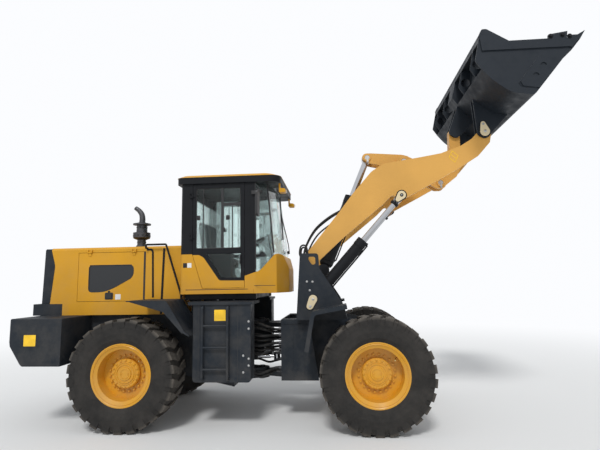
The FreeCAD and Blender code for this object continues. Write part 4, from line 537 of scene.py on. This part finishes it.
def make_hood_trim():
    """Black bands, latch, blank label, and the vent's corners and seal on both sides of the hood."""
    for sign, face, out in both_sides(HOOD_FACE):
        side = SIDE_NAMES[sign]
        door = f"hood_door_{side}_body"
        still, swinging, labels, corners = new_shapes(4)
        for on_door, width, points in BANDS:
            raised(swinging if on_door else still, ribbon(points, width), face, -0.004, 0.003, 0.0008)
        raised(swinging, oblong(-2.066, 1.548, -1.952, 1.640, 0.014), face, -0.004, 0.006, 0.002)
        raised(swinging, oblong(-2.050, 1.562, -1.968, 1.628, 0.010), face, 0, 0.013, 0.003)
        stud(swinging, at(-2.009, face, 1.653), out, 0.013, 0.011, 0.012, 0.010, 18)
        raised(labels, oblong(-1.919, 1.546, -1.845, 1.616, 0.005), face, -0.002, 0.0012, 0.0004)
        inner = rounded(VENT, VENT_CORNERS)
        collar(corners, "side", rounded(VENT, 0.020), inner, face - sign * 0.006, face - sign * 0.0005)
        cord(swinging, inner, face - sign * 0.001, 0.0045, 0.03)
        piece(f"vent_corners_{side}", corners, door, "yellow_paint")
        piece(f"hood_bands_{side}", still, "rear_body", "black_paint")
        piece(f"hood_door_trim_{side}", swinging, door, "black_plastic")
        piece(f"hood_label_{side}", labels, door, "white_label")


def make_counterweight_block():
    """The cast block with the photo's tighter plan corner at its tail."""
    block = bmesh.new()
    front, tail, low, high, cut = -2.293, -2.987, 0.770, 1.342, 0.035
    rings = []
    for z, inset in ((low, 0.175), (low + 0.022, 0.150), (low + 0.236, 0.010), (low + 0.290, 0.0),
                     (high - 0.010, 0.0), (high, 0.010)):
        rear = tail + inset
        loop = [(front, -TAIL_FACE), (rear + cut, -TAIL_FACE), (rear, cut - TAIL_FACE),
                (rear, TAIL_FACE - cut), (rear + cut, TAIL_FACE), (front, TAIL_FACE)]
        rings.append([block.verts.new(at(x, y, z)) for x, y in loop])
    skin(block, rings)
    bmesh.ops.recalc_face_normals(block, faces=block.faces)
    sharp = [edge for edge in block.edges if edge.is_manifold and edge.calc_face_angle() > 0.4]
    bmesh.ops.bevel(block, geom=sharp, offset=0.006, segments=2, affect="EDGES", profile=0.5)
    cast = piece("counterweight_block", block, "rear_body", "slate_paint")
    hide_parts("counterweight")


def make_tail_details():
    """Blank signs, lamp boxes with their lenses, and drain taps on the tail of the machine."""
    signs, lenses, taps, boxes = new_shapes(4)
    for sign, face, out in both_sides(TAIL_FACE):
        raised(signs, oblong(-2.773, 1.013, -2.618, 1.148, 0.006), face, -0.002, 0.0015, 0.0005)
        slab(boxes, "end", oblong(sign * 0.730, 1.177, sign * 0.930, 1.262, 0.012), -2.999, -2.980, 0.002)
        for y in (0.775, 0.885):
            turned(lenses, at(-2.999, sign * y, 1.2195), (-1, 0, 0),
                   [(0, 0.031), (0.005, 0.031), (0.009, 0.026), (0.011, 0.010)], 24)
        tap = at(-2.50, sign * 0.446, 1.285)
        turned(taps, tap, out, [(0, 0.016), (0.030, 0.016), (0.031, 0.011), (0.045, 0.011)], 14)
        hose(taps, [tap + Vector((x, sign * y, z)) for x, y, z in (
            (0, 0.038, 0), (0.03, 0.045, -0.03), (0.055, 0.045, -0.075),
        )], 0.006, 8)
    lamps = piece("tail_lamp_boxes", boxes, "rear_body", "black_plastic")
    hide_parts("rear_lamps")
    piece("tail_signs", signs, "rear_body", "sign_yellow")
    piece("tail_lamp_lenses", lenses, "rear_body", "lamp_red")
    piece("drain_taps", taps, "rear_body", "brass")


def make_exhaust_details():
    """Tapered horn of the exhaust, clamps with their screws, and the pre-cleaner's vanes."""
    clamps, vanes, horn = new_shapes(3)
    x, y = -1.740, -0.150
    for z, radius in ((2.345, 0.0605), (2.560, 0.0745)):
        band = radius + 0.004
        turned(clamps, at(x, y, z), UP, [(0, radius), (0.0005, band), (0.0135, band), (0.014, radius)], 32)
        bolt(clamps, at(x, y - radius - 0.002, z + 0.007), (0, -1, 0), 0.007, 0.012)
    for step in range(12):
        turn = math.tau * step / 12
        spot = Vector((math.cos(turn), math.sin(turn), 0))
        stud(vanes, at(x, y, 2.447) + spot * 0.112, spot, 0.013, 0.0095, 0.010, 0.011, 10)
    line = smooth_line([at(x + shift, y, z) for shift, z in (
        (0, 2.634), (0.003, 2.700), (-0.010, 2.765), (-0.052, 2.822), (-0.106, 2.862),
    )], 0.008)
    for inner in (0.0, 0.004):
        sweep(horn, line, [0.043 - 0.013 * (k / (len(line) - 1)) ** 1.5 - inner for k in range(len(line))], 24)
    stud(horn, line[0] - Vector((0, 0, 0.004)), UP, 0.054, 0.012, 0.016, 0.045, 28)
    pipe = piece("exhaust_horn", horn, "rear_body", "exhaust_steel")
    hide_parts("exhaust_tail")
    piece("exhaust_clamps", clamps, "rear_body", "exhaust_steel")
    piece("cleaner_vanes", vanes, "rear_body", "black_plastic")


# Cab

WINDOW_RAILS = (
    # left, low, right, high
    (-0.412, 2.192, -0.380, 2.993), (-0.380, 2.752, -0.150, 2.796),
    (-0.268, 2.192, -0.258, 2.752), (-0.660, 2.192, -0.650, 2.993),
)
LATCHES = (
    # X, Z, width, height
    (-0.321, 2.596, 0.050, 0.060), (-0.716, 2.600, 0.046, 0.062), (-0.372, 2.434, 0.028, 0.062),
)
SEALS = (
    # Y, radius, points (X, Z)
    (0.602, 0.010, ((0.266, 2.125), (0.226, 2.600), (0.184, 3.050))),
    (0.716, 0.009, ((0.046, 1.905), (0.046, 2.500), (0.046, 3.050))),
)


def make_tub_details():
    """Sill ledge below the door, shade painted along its top and in the nose's crease, and two blank plates behind the
    door.
    """
    ledges, fold_and_shade_lines, dark, pale = new_shapes(4)
    ledge = [(-0.900, 1.606), (0.020, 1.606), (0.020, 1.664), (-0.045, 1.664), (-0.055, 1.655), (-0.880, 1.655)]
    for face in (-DOOR_FACE, DOOR_FACE):
        raised(ledges, ledge, face, -0.004, 0.010, 0.004)
        # Thin black strips painted as shade: the shadow line along the ledge's top, and the shadow in the nose's
        # crease.
        raised(fold_and_shade_lines, ribbon([(-0.872, 1.661), (-0.058, 1.661)], 0.008), face, -0.003, 0.0015)
        raised(fold_and_shade_lines, ribbon([(0.024, 1.702), (0.300, 1.702)], 0.006), face, -0.003, 0.0012)
        for shape, left, right in ((dark, -0.912, -0.860), (pale, -0.856, -0.800)):
            raised(shape, oblong(left, 1.948, right, 2.008, 0.004), face, -0.002, 0.0015, 0.0005)
    piece("tub_ledges", ledges, "rear_body", "yellow_paint")
    # Painted shade: these black lines stand for shadow, not for a part.
    piece("tub_shade_lines", fold_and_shade_lines, "rear_body", "black_plastic")
    piece("tub_plates_dark", dark, "rear_body", "slate_paint")
    piece("tub_plates_pale", pale, "rear_body", "white_label")


def make_door_details():
    """Sliding window's rails, latches, seals and handle on both doors."""
    for sign, face, out in both_sides(WINDOW_FACE):
        side = SIDE_NAMES[sign]
        rails, latches = new_shapes(2)
        for corners in WINDOW_RAILS:
            raised(rails, oblong(*corners), face, -0.012, 0.009, 0.002)
        cord(rails, oblong(-0.747, 2.193, -0.151, 2.992, 0.030), face + sign * 0.003, 0.009, 0.05)
        for x, z, wide, tall in LATCHES:
            plate = oblong(x - wide / 2, z - tall / 2, x + wide / 2, z + tall / 2, 0.010)
            raised(latches, plate, face, 0, 0.016, 0.003)
            turned(latches, at(x, face + sign * 0.014, z), out, [(0, 0.014), (0.014, 0.012), (0.016, 0.008)], 16)
        hose(latches, [at(-0.150, sign * y, z) for y, z in (
            (0.716, 1.985), (0.752, 1.995), (0.756, 2.045), (0.752, 2.095), (0.716, 2.105),
        )], 0.009, 10)
        piece(f"door_window_rails_{side}", rails, f"cab_door_{side}", "black_plastic")
        piece(f"door_latches_{side}", latches, f"cab_door_{side}", "black_plastic")


def make_windscreen_details():
    """Seals down the screen's corners, wiper, and the lamps' lenses."""
    seals, wiper, lenses = new_shapes(3)
    for sign in SIDES:
        for y, radius, points in SEALS:
            hose(seals, [at(x, sign * y, z) for x, z in points], radius, 8, spacing=0.1)
        slab(lenses, "end", oblong(sign * 0.527, 2.931, sign * 0.633, 2.970, 0.010), 0.425, 0.444, 0.003)
    stud(wiper, at(0.365, 0.10, 2.165), (0.96, 0, 0.28), 0.022, 0.030, 0.036, 0.016, 18)
    hose(wiper, [at(0.395, 0.10, 2.175), at(0.386, 0.03, 2.300), at(0.350, -0.12, 2.520), at(0.330, -0.20, 2.640)],
         0.007, 8)
    slab(wiper, "end", ribbon([(-0.20, 2.32), (-0.20, 2.94)], 0.012), 0.309, 0.319, 0.002)
    hose(wiper, [at(0.342, -0.20, 2.330), at(0.326, -0.20, 2.640), at(0.296, -0.20, 2.930)], 0.009, 8, spacing=0.05)
    piece("screen_seals", seals, "rear_body", "black_plastic")
    piece("screen_wiper", wiper, "rear_body", "black_plastic")
    piece("work_lamp_lenses", lenses, "rear_body", "lens_glass")


# Tanks and platform

TREAD = ((-0.010, -0.003), (0.010, -0.009), (0.010, -0.003), (-0.010, 0.003))
TREAD_PITCH = 0.036


def make_tank_details():
    """Blank sign, bolts, shade painted in the panel grooves of the tanks, and the platform's tread."""
    signs, bolts, groove_shade_lines, treads = new_shapes(4)
    for sign, face, out in both_sides(TANK_FACE):
        raised(signs, oblong(-0.418, 1.286, -0.277, 1.419, 0.006), face, -0.002, 0.0015, 0.0005)
        for x, z in ((0.006, 1.276), (0.006, 1.191), (0.006, 0.839), (0.006, 0.759), (-0.060, 0.874), (-0.060, 0.680)):
            bolt(bolts, at(x, face, z), out, 0.008)
        # Thin black strips painted as the shade inside the tanks' panel grooves.
        for x in (-0.128, -0.088, -0.612):
            raised(groove_shade_lines, ribbon([(x, 0.575), (x, 1.470)], 0.005), face, -0.002, 0.0006)
        for column in range(22):
            for row in range(13):
                x, y = column * TREAD_PITCH - 0.76, sign * (row * TREAD_PITCH + 0.530)
                lean = 1 if (row + column) % 2 else -1
                slab(treads, "plan", [(x + across, y + lean * up) for across, up in TREAD], 1.513, 1.5162)
    piece("step_signs", signs, "rear_body", "sign_yellow")
    piece("tank_bolts", bolts, "rear_body", "zinc")
    # Painted shade of the panel grooves, not a part.
    piece("tank_groove_shade", groove_shade_lines, "rear_body", "black_plastic")
    piece("platform_tread", treads, "rear_body", "slate_paint")


# Hinge and tower

HINGE_HOSES = (
    # rear y, rear z, front y, front z, bulge y, bulge z, radius
    (-0.345, 1.245, -0.330, 1.120, -0.430, 1.235, 0.015),
    (-0.300, 1.225, -0.290, 1.080, -0.400, 1.165, 0.015),
    (-0.345, 1.090, -0.345, 1.040, -0.440, 1.075, 0.017),
    (-0.300, 1.050, -0.310, 0.990, -0.410, 1.010, 0.015),
    (-0.350, 0.985, -0.350, 0.940, -0.445, 0.945, 0.017),
    (-0.300, 0.940, -0.300, 0.890, -0.415, 0.885, 0.015),
    (-0.350, 0.880, -0.350, 0.855, -0.445, 0.835, 0.013),
    (-0.345, 0.640, -0.345, 0.620, -0.430, 0.590, 0.017),
    (-0.300, 0.620, -0.300, 0.580, -0.400, 0.545, 0.015),
    (0.345, 1.090, 0.345, 1.040, 0.440, 1.075, 0.015),
    (0.350, 0.985, 0.350, 0.940, 0.445, 0.945, 0.017),
    (0.345, 0.640, 0.345, 0.620, 0.430, 0.590, 0.015),
)


def make_hinge_hoses():
    """Hydraulic hoses that loop past the hinge from the rear frame to the front frame."""
    hoses, ends_rear, ends_front = new_shapes(3)
    for rear_y, rear_z, front_y, front_z, out_y, out_z, radius in HINGE_HOSES:
        points = [
            at(-0.292, rear_y, rear_z), at(-0.200, rear_y, rear_z - 0.004),
            at(-0.090, (rear_y + 2 * out_y) / 3, (rear_z + out_z) / 2 - 0.01), at(0.030, out_y, out_z - 0.03),
            at(0.140, (front_y + 2 * out_y) / 3, (front_z + out_z) / 2 - 0.02), at(0.240, front_y, front_z - 0.004),
            at(0.338, front_y, front_z),
        ]
        hose(hoses, points, radius, 10, guard=radius * 0.14, spacing=0.010)
        fitting(ends_rear, at(-0.235, rear_y, rear_z - 0.003), (-1, 0, 0), radius)
        fitting(ends_front, at(0.282, front_y, front_z - 0.002), (1, 0, 0), radius)
    tubes = piece("hinge_hoses", hoses, None, "hose_rubber")
    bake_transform(tubes)
    piece("hose_ends_rear", ends_rear, "rear_body", "exhaust_steel")
    piece("hose_ends_front", ends_front, "front_body", "exhaust_steel")


def make_tower_details():
    """Bolts, pin keepers, fold lines and plate edges of the front frame."""
    bolts, badges, fold_and_shade_lines = new_shapes(3)
    for sign, face, out in both_sides(TOWER_FACE):
        for x, z in ((0.702, 1.742), (0.773, 1.740), (0.736, 1.632)):
            bolt(bolts, at(x, face, z), out, 0.008)
        x, z = PINS["lift_base"]
        raised(badges, teardrop(x, z, 0.054, (x - 0.040, z - 0.086), 0.043), face, -0.002, 0.018, 0.003)
        keeper = face + sign * 0.017
        stud(bolts, at(x, keeper, z), out, 0.016, 0.004, 0.006, 0.012, 24)
        bolt(bolts, at(x - 0.036, keeper, z - 0.088), out, 0.010)
        plate = sign * FRAME_FACE
        for x in (0.500, 0.640):
            raised(fold_and_shade_lines, ribbon([(x, 0.520), (x, 1.225)], 0.006), plate, -0.003, 0.003, 0.001)
        edge = ribbon([(0.352, 1.214), (0.520, 1.205), (0.712, 1.188)], 0.012)
        raised(fold_and_shade_lines, edge, plate, -0.003, 0.008, 0.002)
    piece("tower_bolts", bolts, "front_body", "zinc")
    piece("tower_keepers", badges, "front_body", "keeper_cream")
    piece("front_plate_folds", fold_and_shade_lines, "front_body", "slate_paint")


TOWER_LOOPS = (
    # y of the hose, half span, rise over the tower's top, radius
    (-0.655, 0.052, 0.112, 0.011), (-0.620, 0.036, 0.085, 0.011), (0.655, 0.052, 0.112, 0.011),
)
LOOP_PATH = (
    # share of the half span, height, share of the rise
    (1, 1.960, 0), (1, 2.060, 0), (1, 2.110, 0), (0.72, 2.100, 0.78), (0, 2.100, 1),
    (-0.72, 2.100, 0.78), (-1, 2.110, 0), (-0.8, 2.060, 0), (-0.6, 1.960, 0),
)
LIFT_HOSES = (
    # y at the tower, y in the arms, height of the arc, radius
    (-0.330, -0.400, 0.150, 0.013), (-0.285, -0.350, 0.125, 0.013), (0.330, 0.400, 0.150, 0.013),
)
LIFT_PATH = (
    # x, share of the way into the arms, height, share of the arc
    (0.636, 0, 1.800, 0), (0.630, 0, 2.000, 0), (0.668, 0, 2.210, 0), (0.800, 0.5, 2.380, 0.4),
    (0.985, 1, 2.520, 0.5), (1.180, 1, 2.655, 0.3), (1.330, 1, 2.740, 0), (1.480, 1, 2.760, 0),
)


def make_tower_hoses():
    """Loops on the towers' tops, and hoses that arc from the towers to the boom."""
    loops, arcs = new_shapes(2)
    for y, reach, rise, radius in TOWER_LOOPS:
        hose(loops, [at(0.662 + reach * share, y, z + rise * up) for share, z, up in LOOP_PATH], radius)
    for y, inner_y, height, radius in LIFT_HOSES:
        hose(arcs, [at(x, y + (inner_y - y) * share, z + height * up) for x, share, z, up in LIFT_PATH], radius)
    piece("tower_hose_loops", loops, "front_body", "hose_rubber")
    lines = piece("boom_hoses", arcs, None, "hose_rubber")
    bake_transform(lines)


# Boom, links and cylinders

def pin_end(rings, metals, name, face, radius):
    """Boss ring with the pin's end and its locking plate."""
    x, z = PINS[name]
    sign = math.copysign(1, face)
    spot, out = at(x, face, z), (0, sign, 0)
    turned(rings, spot, out, [
        (-0.002, radius), (0.010, radius), (0.014, radius - 0.004), (0.014, radius - 0.020), (0.006, radius - 0.020),
    ], 36, close=False)
    stud(metals, spot, out, radius - 0.019, 0.010, 0.013, radius - 0.023, 32)
    lock = oblong(x - 0.010, z - radius - 0.020, x + 0.018, z + 0.006, 0.006)
    raised(metals, lock, face, 0.010, 0.018, 0.001)
    bolt(metals, at(x + 0.004, face + sign * 0.018, z - radius - 0.004), out, 0.007)


def heading(first, last):
    """Direction from one pin to another."""
    ahead = Vector(PINS[last]) - Vector(PINS[first])
    return Vector((ahead.x, 0, ahead.y)).normalized()


def along(first, last, share, y, lift=0.0):
    """A point between two pins, with an offset square to their line."""
    a, b = Vector(PINS[first]), Vector(PINS[last])
    ahead = (b - a).normalized()
    spot = a + (b - a) * share + Vector((-ahead.y, ahead.x)) * lift
    return at(spot.x, y, spot.y)


def make_linkage_details():
    """Pin ends and keepers of the linkage, the lift rods' eyes, and an empty mark on the arms."""
    boom_rings, boom_pins, crank_rings, crank_pins, bucket_keepers, bucket_pins = new_shapes(6)
    rod_keepers, rod_pins, rod_rims, labels = new_shapes(4)
    for sign in SIDES:
        out = (0, sign, 0)
        pin_end(boom_rings, boom_pins, "crank", sign * 0.152, 0.062)
        for name in ("tilt_eye", "link_low"):
            pin_end(crank_rings, crank_pins, name, sign * 0.102, 0.056)
        x, z = PINS["bucket"]
        face = sign * BUCKET_EAR_FACE
        raised(bucket_keepers, teardrop(x, z, 0.062, (x - 0.020, z + 0.105), 0.030), face, -0.002, 0.012, 0.003)
        stud(bucket_pins, at(x, face + sign * 0.011, z), out, 0.020, 0.005, 0.007, 0.014, 24)
        bolt(bucket_pins, at(x - 0.018, face + sign * 0.011, z + 0.098), out, 0.010)
        x, z = PINS["lift_eye"]
        face = sign * LIFT_EYE_FACE
        tip = (x - 0.050, z - 0.056)
        raised(rod_rims, teardrop(x, z, 0.068, tip, 0.042), face, -0.002, 0.006, 0.002)
        raised(rod_keepers, teardrop(x, z, 0.054, tip, 0.030), face, 0.004, 0.011, 0.002)
        stud(rod_rims, at(x, face + sign * 0.009, z), out, 0.022, 0.005, 0.007, 0.018, 28)
        turned(rod_pins, at(x, face + sign * 0.015, z), out, [(0, 0.010), (0.004, 0.008)], 12)
        turned(rod_rims, along("lift_base", "lift_eye", 0.912, sign * 0.600), heading("lift_base", "lift_eye"),
               [(0, 0.047), (0.004, 0.055), (0.034, 0.055), (0.038, 0.047)], 28)
        frame_line = ribbon([(2.606, 3.340), (2.650, 3.428), (2.722, 3.360), (2.678, 3.272), (2.606, 3.340)], 0.008)
        for line in (frame_line, ribbon([(2.628, 3.384), (2.700, 3.316)], 0.007)):
            slab(labels, "side", line, sign * 0.519, sign * 0.5212)
    piece("boom_pin_rings", boom_rings, "boom_body", "cream_yellow_paint")
    piece("boom_pin_ends", boom_pins, "boom_body", "zinc")
    piece("crank_pin_rings", crank_rings, "bell_crank_body", "cream_yellow_paint")
    piece("crank_pin_ends", crank_pins, "bell_crank_body", "zinc")
    piece("bucket_keepers", bucket_keepers, "bucket_body", "keeper_cream")
    piece("bucket_pin_ends", bucket_pins, "bucket_body", "zinc")
    piece("lift_rod_keepers", rod_keepers, "lift_rods_body", "keeper_cream")
    piece("lift_rod_pins", rod_pins, "lift_rods_body", "zinc")
    piece("lift_rod_rims", rod_rims, "lift_rods_body", "black_paint")
    piece("boom_label_lines", labels, "boom_body", "sign_yellow")


CYLINDERS = (
    # kind, body, places across, barrel's radius, share of the length at the gland
    ("lift", "lift_barrels_body", (-0.600, 0.600), 0.070, 0.610),
    ("tilt", "tilt_barrel_body", (0.0,), 0.098, 0.640),
)


def make_cylinder_details():
    """Glands, welds, ports and hard lines of the lift and tilt cylinders."""
    for kind, body, places, radius, gland in CYLINDERS:
        pins = (f"{kind}_base", f"{kind}_eye")
        ahead = heading(*pins)
        rings, lines = new_shapes(2)
        for y in places:
            for share, wide, height in ((0.085, 0.014, 0.006), (gland - 0.060, 0.010, 0.004)):
                turned(rings, along(*pins, share, y), ahead, [
                    (0, radius - 0.002), (wide * 0.3, radius + height), (wide * 0.7, radius + height),
                    (wide, radius - 0.002),
                ], 32, close=False)
            hose(lines, [along(*pins, share, y, lift - radius) for share, lift in (
                (0.105, 0.004), (0.112, -0.014), (0.130, -0.017), (0.300, -0.017),
                (gland - 0.090, -0.017), (gland - 0.060, -0.014), (gland - 0.052, 0.004),
            )], 0.010, 10)
            for share in (0.105, gland - 0.052):
                port = along(*pins, share, y, 0.010 - radius)
                stud(lines, port, (ahead.z, 0, -ahead.x), 0.020, 0.019, 0.022, 0.016, 6)
        piece(f"{kind}_cylinder_rings", rings, body, "black_paint")
        piece(f"{kind}_cylinder_lines", lines, body, "black_paint")


# Bucket

def bead(shape, points, spacing=0.008):
    """Weld bead along a line of points."""
    hose(shape, [at(*point) for point in points], 0.005, 6, guard=0.0012, spacing=spacing)


def make_bucket_details():
    """Bolts of the side cutters, and weld beads of the wear plates and gussets."""
    bolts, beads = new_shapes(2)
    for sign, face, out in both_sides(BUCKET_FACE):
        for x, z in ((3.679, 4.568), (3.812, 4.575), (3.893, 4.556)):
            bolt(bolts, at(x, face, z), out, 0.017)
        bead(beads, [(x, sign * 1.2145, z) for x, z in (
            (3.531, 4.336), (3.299, 4.037), (3.290, 4.010), (3.325, 3.972), (3.490, 3.949),
        )])
        for y in (0.465, 0.985):
            for shift in (-0.008, 0.008):
                bead(beads, [(x, sign * y + shift, z) for x, z in ((2.985, 4.245), (2.972, 4.400), (2.971, 4.545))])
    bead(beads, [(2.9275, y, 4.203) for y in (-1.190, 0, 1.190)], 0.012)
    piece("bucket_bolts", bolts, "bucket_body", "black_paint")
    piece("bucket_welds", beads, "bucket_body", "slate_paint")


# Cab base and seat

def make_cab_base():
    """Black channels and rubber mounts between the cab and the rear frame."""
    rails, mounts = new_shapes(2)
    for sign in SIDES:
        slab(rails, "end", oblong(sign * 0.600, 1.530, sign * 0.665, 1.603, 0.006), -0.900, 0.040, 0.003)
        for x in (-0.820, -0.420, -0.030):
            turned(mounts, at(x, sign * 0.560, 1.516), UP, [
                (0, 0.050), (0.012, 0.055), (0.030, 0.046), (0.048, 0.055), (0.070, 0.058), (0.088, 0.050),
            ], 24)
    for x in (-0.880, -0.040):
        slab(rails, "end", oblong(-0.600, 1.540, 0.600, 1.600), x, x + 0.060, 0.003)
    piece("cab_base_rails", rails, "rear_body", "black_paint")
    piece("cab_mounts", mounts, "rear_body", "black_plastic")


def inflate(thing, limit, steps=20):
    """Swells a closed mesh by cloth pressure, with no point moving further than limit."""
    scene = bpy.context.scene
    start = [v.co.copy() for v in thing.data.vertices]
    cloth = thing.modifiers.new("swell", "CLOTH")
    cloth.settings.use_pressure = True
    cloth.settings.uniform_pressure_force = 4.0
    cloth.settings.effector_weights.gravity = 0.0
    cloth.settings.quality = 5
    cloth.point_cache.frame_start = 1
    cloth.point_cache.frame_end = steps
    for step in range(1, steps + 1):
        scene.frame_set(step)
    solved = thing.evaluated_get(bpy.context.evaluated_depsgraph_get()).to_mesh()
    moved = [v.co.copy() for v in solved.vertices]
    thing.modifiers.remove(cloth)
    scene.frame_set(1)
    for vertex, before, after in zip(thing.data.vertices, start, moved):
        step = after - before
        vertex.co = before + step * min(1.0, limit / max(step.length, 1e-9))


def press(mesh, depth, share, smooth=False):
    """Moves each vertex inwards by its share of a depth."""
    shape = bmesh.new()
    shape.from_mesh(mesh)
    shape.normal_update()
    for vertex in shape.verts:
        vertex.co -= vertex.normal * depth * share(vertex.co)
    if smooth:
        bmesh.ops.smooth_vert(shape, verts=shape.verts, factor=0.5, use_axis_x=True, use_axis_y=True, use_axis_z=True)
    shape.to_mesh(mesh)
    shape.free()


def channels(spot):
    """1 in the middle of each sewn channel, and 0 far from them."""
    return min(1.0, sum(math.exp(-((spot.y - y) / 0.006) ** 2) for y in (-0.130, -0.045, 0.045, 0.130)))


def make_seat():
    """Padded driver's seat, swollen by cloth pressure and drawn in at its sewn channels."""
    seat = bpy.data.objects.new("driver_seat", nodes["seat_cushion"].data.copy())
    bpy.context.collection.objects.link(seat)
    remesh = seat.modifiers.new("remesh", "REMESH")
    remesh.mode = "VOXEL"
    remesh.voxel_size = 0.006
    mesh = bpy.data.meshes.new_from_object(seat.evaluated_get(bpy.context.evaluated_depsgraph_get()))
    seat.modifiers.clear()
    seat.data = mesh
    press(mesh, 0.014, lambda spot: 1.0, smooth=True)
    inflate(seat, 0.024)
    press(mesh, 0.008, channels)
    mesh.materials.clear()
    mesh.materials.append(MATERIALS["seat_fabric"])
    mesh.shade_smooth()
    finer = seat.modifiers.new("finer", "SUBSURF")
    finer.levels = 1
    finer.render_levels = 1
    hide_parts("seat_cushion")
    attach(seat, "rear_body")


# Wheels

WHEELS = [
    (f"{end}_{SIDE_NAMES[sign]}", x, sign)
    for end, x in (("front", WHEELBASE / 2), ("rear", -WHEELBASE / 2)) for sign in SIDES
]


def around(x, radius, count, start=0.0):
    """Points (X, Z) spread evenly on a circle about a wheel's centre."""
    turns = [math.tau * (step + start) / count for step in range(count)]
    return [(x + radius * math.cos(turn), TYRE_RADIUS + radius * math.sin(turn)) for turn in turns]


def make_wheel_details():
    """Wheel nuts, hub bolts, raised hub rings, lock ring and valve of each wheel."""
    lean = math.radians(38)
    for name, x, sign in WHEELS:
        nuts, rings, stems = new_shapes(3)
        out = (0, sign, 0)
        for across, up in around(x, 0.214, 20, 0.5):
            bolt(nuts, at(across, sign * DISC_FACE, up), out, 0.0125, 0.016)
        for across, up in around(x, 0.157, 16):
            stud(rings, at(across, sign * (HUB_FACE - 0.012), up), out, 0.017, 0.015, 0.018, 0.014, 14)
            bolt(nuts, at(across, sign * (HUB_FACE + 0.005), up), out, 0.008)
        for radius, rise, wide in ((0.128, 0.006, 0.008), (0.104, 0.009, 0.010), (0.052, 0.0165, 0.006)):
            turned(rings, at(x, sign * HUB_FACE, TYRE_RADIUS), out, [
                (-0.002, radius + wide), (rise - 0.002, radius + wide), (rise, radius + wide - 0.002),
                (rise, radius), (rise - 0.004, radius - 0.002), (-0.002, radius - 0.002),
            ], 48, close=False)
        for shift in (0.040, -0.040):
            bolt(nuts, at(x + shift, sign * (HUB_FACE + 0.012), TYRE_RADIUS), out, 0.007)
        turned(rings, at(x, sign * LOCK_RING_FACE, TYRE_RADIUS), out, [
            (0, 0.345), (0.004, 0.351), (0.012, 0.351), (0.016, 0.345),
        ], 96, close=False)
        root, tip = (
            at(x + math.cos(lean) * reach, sign * (DISC_FACE + rise), TYRE_RADIUS + math.sin(lean) * reach)
            for reach, rise in ((0.292, 0.030), (0.262, 0.125))
        )
        hose(stems, [root, (root + tip) / 2 + Vector((0, 0, 0.004)), tip], 0.0055, 8)
        stud(stems, tip, tip - root, 0.0085, 0.014, 0.016, 0.006, 8)
        piece(f"wheel_rings_{name}", rings, f"{name}_wheel", "rim_yellow")
        piece(f"wheel_nuts_{name}", nuts, f"{name}_wheel", "rim_yellow")
        piece(f"wheel_valve_{name}", stems, f"{name}_wheel", "brass")


# Floor, backdrop, light and camera

BACKDROP = (0.97, 0.98, 1.0)


def floor_material():
    """Matt floor that keeps the shadow near the machine and fades to the backdrop's white far off."""
    material, tree, shader = new_material()
    material.name = "floor_finish"
    feed(shader, {"Base Color": (0.80, 0.80, 0.79), "Roughness": 0.9})
    reach = add(tree, "VectorMath", {0: coords(tree)}, operation="LENGTH")
    far = spread(tree, reach["Value"], (4.5, 14.0), interpolation_type="SMOOTHSTEP")
    white = add(tree, "Emission", {"Color": BACKDROP})
    blend = add(tree, "MixShader", {"Fac": far, 1: shader.outputs[0], 2: white[0]})
    feed(tree.nodes["Material Output"], {"Surface": blend[0]})
    return material


def make_stage():
    mesh = bpy.data.meshes.new("floor")
    half = 60.0
    mesh.from_pydata([(x, y, 0) for x, y in oblong(-half, -half, half, half)], [], [(0, 1, 2, 3)])
    floor = bpy.data.objects.new("floor", mesh)
    bpy.context.collection.objects.link(floor)
    mesh.materials.append(floor_material())


def make_light():
    """Soft daylight with a low sun; what the camera, glass and gloss see beyond the floor is near white."""
    world = bpy.data.worlds.new("studio")
    bpy.context.scene.world = world
    world.use_nodes = True
    tree = world.node_tree
    sky = tree.nodes["Background"]
    feed(sky, {"Color": (0.93, 0.96, 1.0), "Strength": 0.62})
    bright = add(tree, "Background", {"Color": BACKDROP, "Strength": 1.0})
    seen = add(tree, "LightPath", {})
    direct = calculate(tree, "MAXIMUM", seen["Is Camera Ray"], seen["Is Transmission Ray"])
    blend = add(tree, "MixShader", {
        "Fac": calculate(tree, "MAXIMUM", direct, seen["Is Glossy Ray"]),
        1: sky.outputs[0], 2: bright[0],
    })
    feed(tree.nodes["World Output"], {"Surface": blend[0]})
    sun = bpy.data.lights.new("sun", "SUN")
    sun.energy = 1.6
    sun.angle = math.radians(12)
    lamp = bpy.data.objects.new("sun", sun)
    lamp.rotation_euler = (math.radians(38), math.radians(-14), math.radians(12))
    bpy.context.collection.objects.link(lamp)


def make_camera():
    """The camera fitted to the photograph: place, yaw, pitch, roll and focal length in pixels."""
    yaw, pitch, roll = 0.083, 0.129, -0.0172
    focal, photo_width, sensor = 444.26, 600, 36.0
    ahead = Vector((-math.sin(yaw) * math.cos(pitch), math.cos(yaw) * math.cos(pitch), math.sin(pitch)))
    right = Vector((math.cos(yaw), math.sin(yaw), 0))
    up = right.cross(ahead)
    across = right * math.cos(roll) + up * math.sin(roll)
    above = up * math.cos(roll) - right * math.sin(roll)
    camera = bpy.data.cameras.new("camera")
    camera.sensor_width = sensor
    camera.lens = focal / photo_width * sensor
    camera.clip_end = 200.0
    holder = bpy.data.objects.new("camera", camera)
    turn = Matrix((across, above, -ahead)).transposed()
    holder.matrix_world = Matrix.Translation(at(1.0989, -6.3853, 1.7304)) @ turn.to_4x4()
    bpy.context.collection.objects.link(holder)
    bpy.context.scene.camera = holder


bpy.context.scene.view_settings.view_transform = "Standard"
make_hood_trim()
make_counterweight_block()
make_tail_details()
make_exhaust_details()
make_tub_details()
make_door_details()
make_windscreen_details()
make_tank_details()
make_hinge_hoses()
make_tower_details()
make_tower_hoses()
make_linkage_details()
make_cylinder_details()
make_bucket_details()
make_cab_base()
make_seat()
make_wheel_details()
make_stage()
make_light()
make_camera()
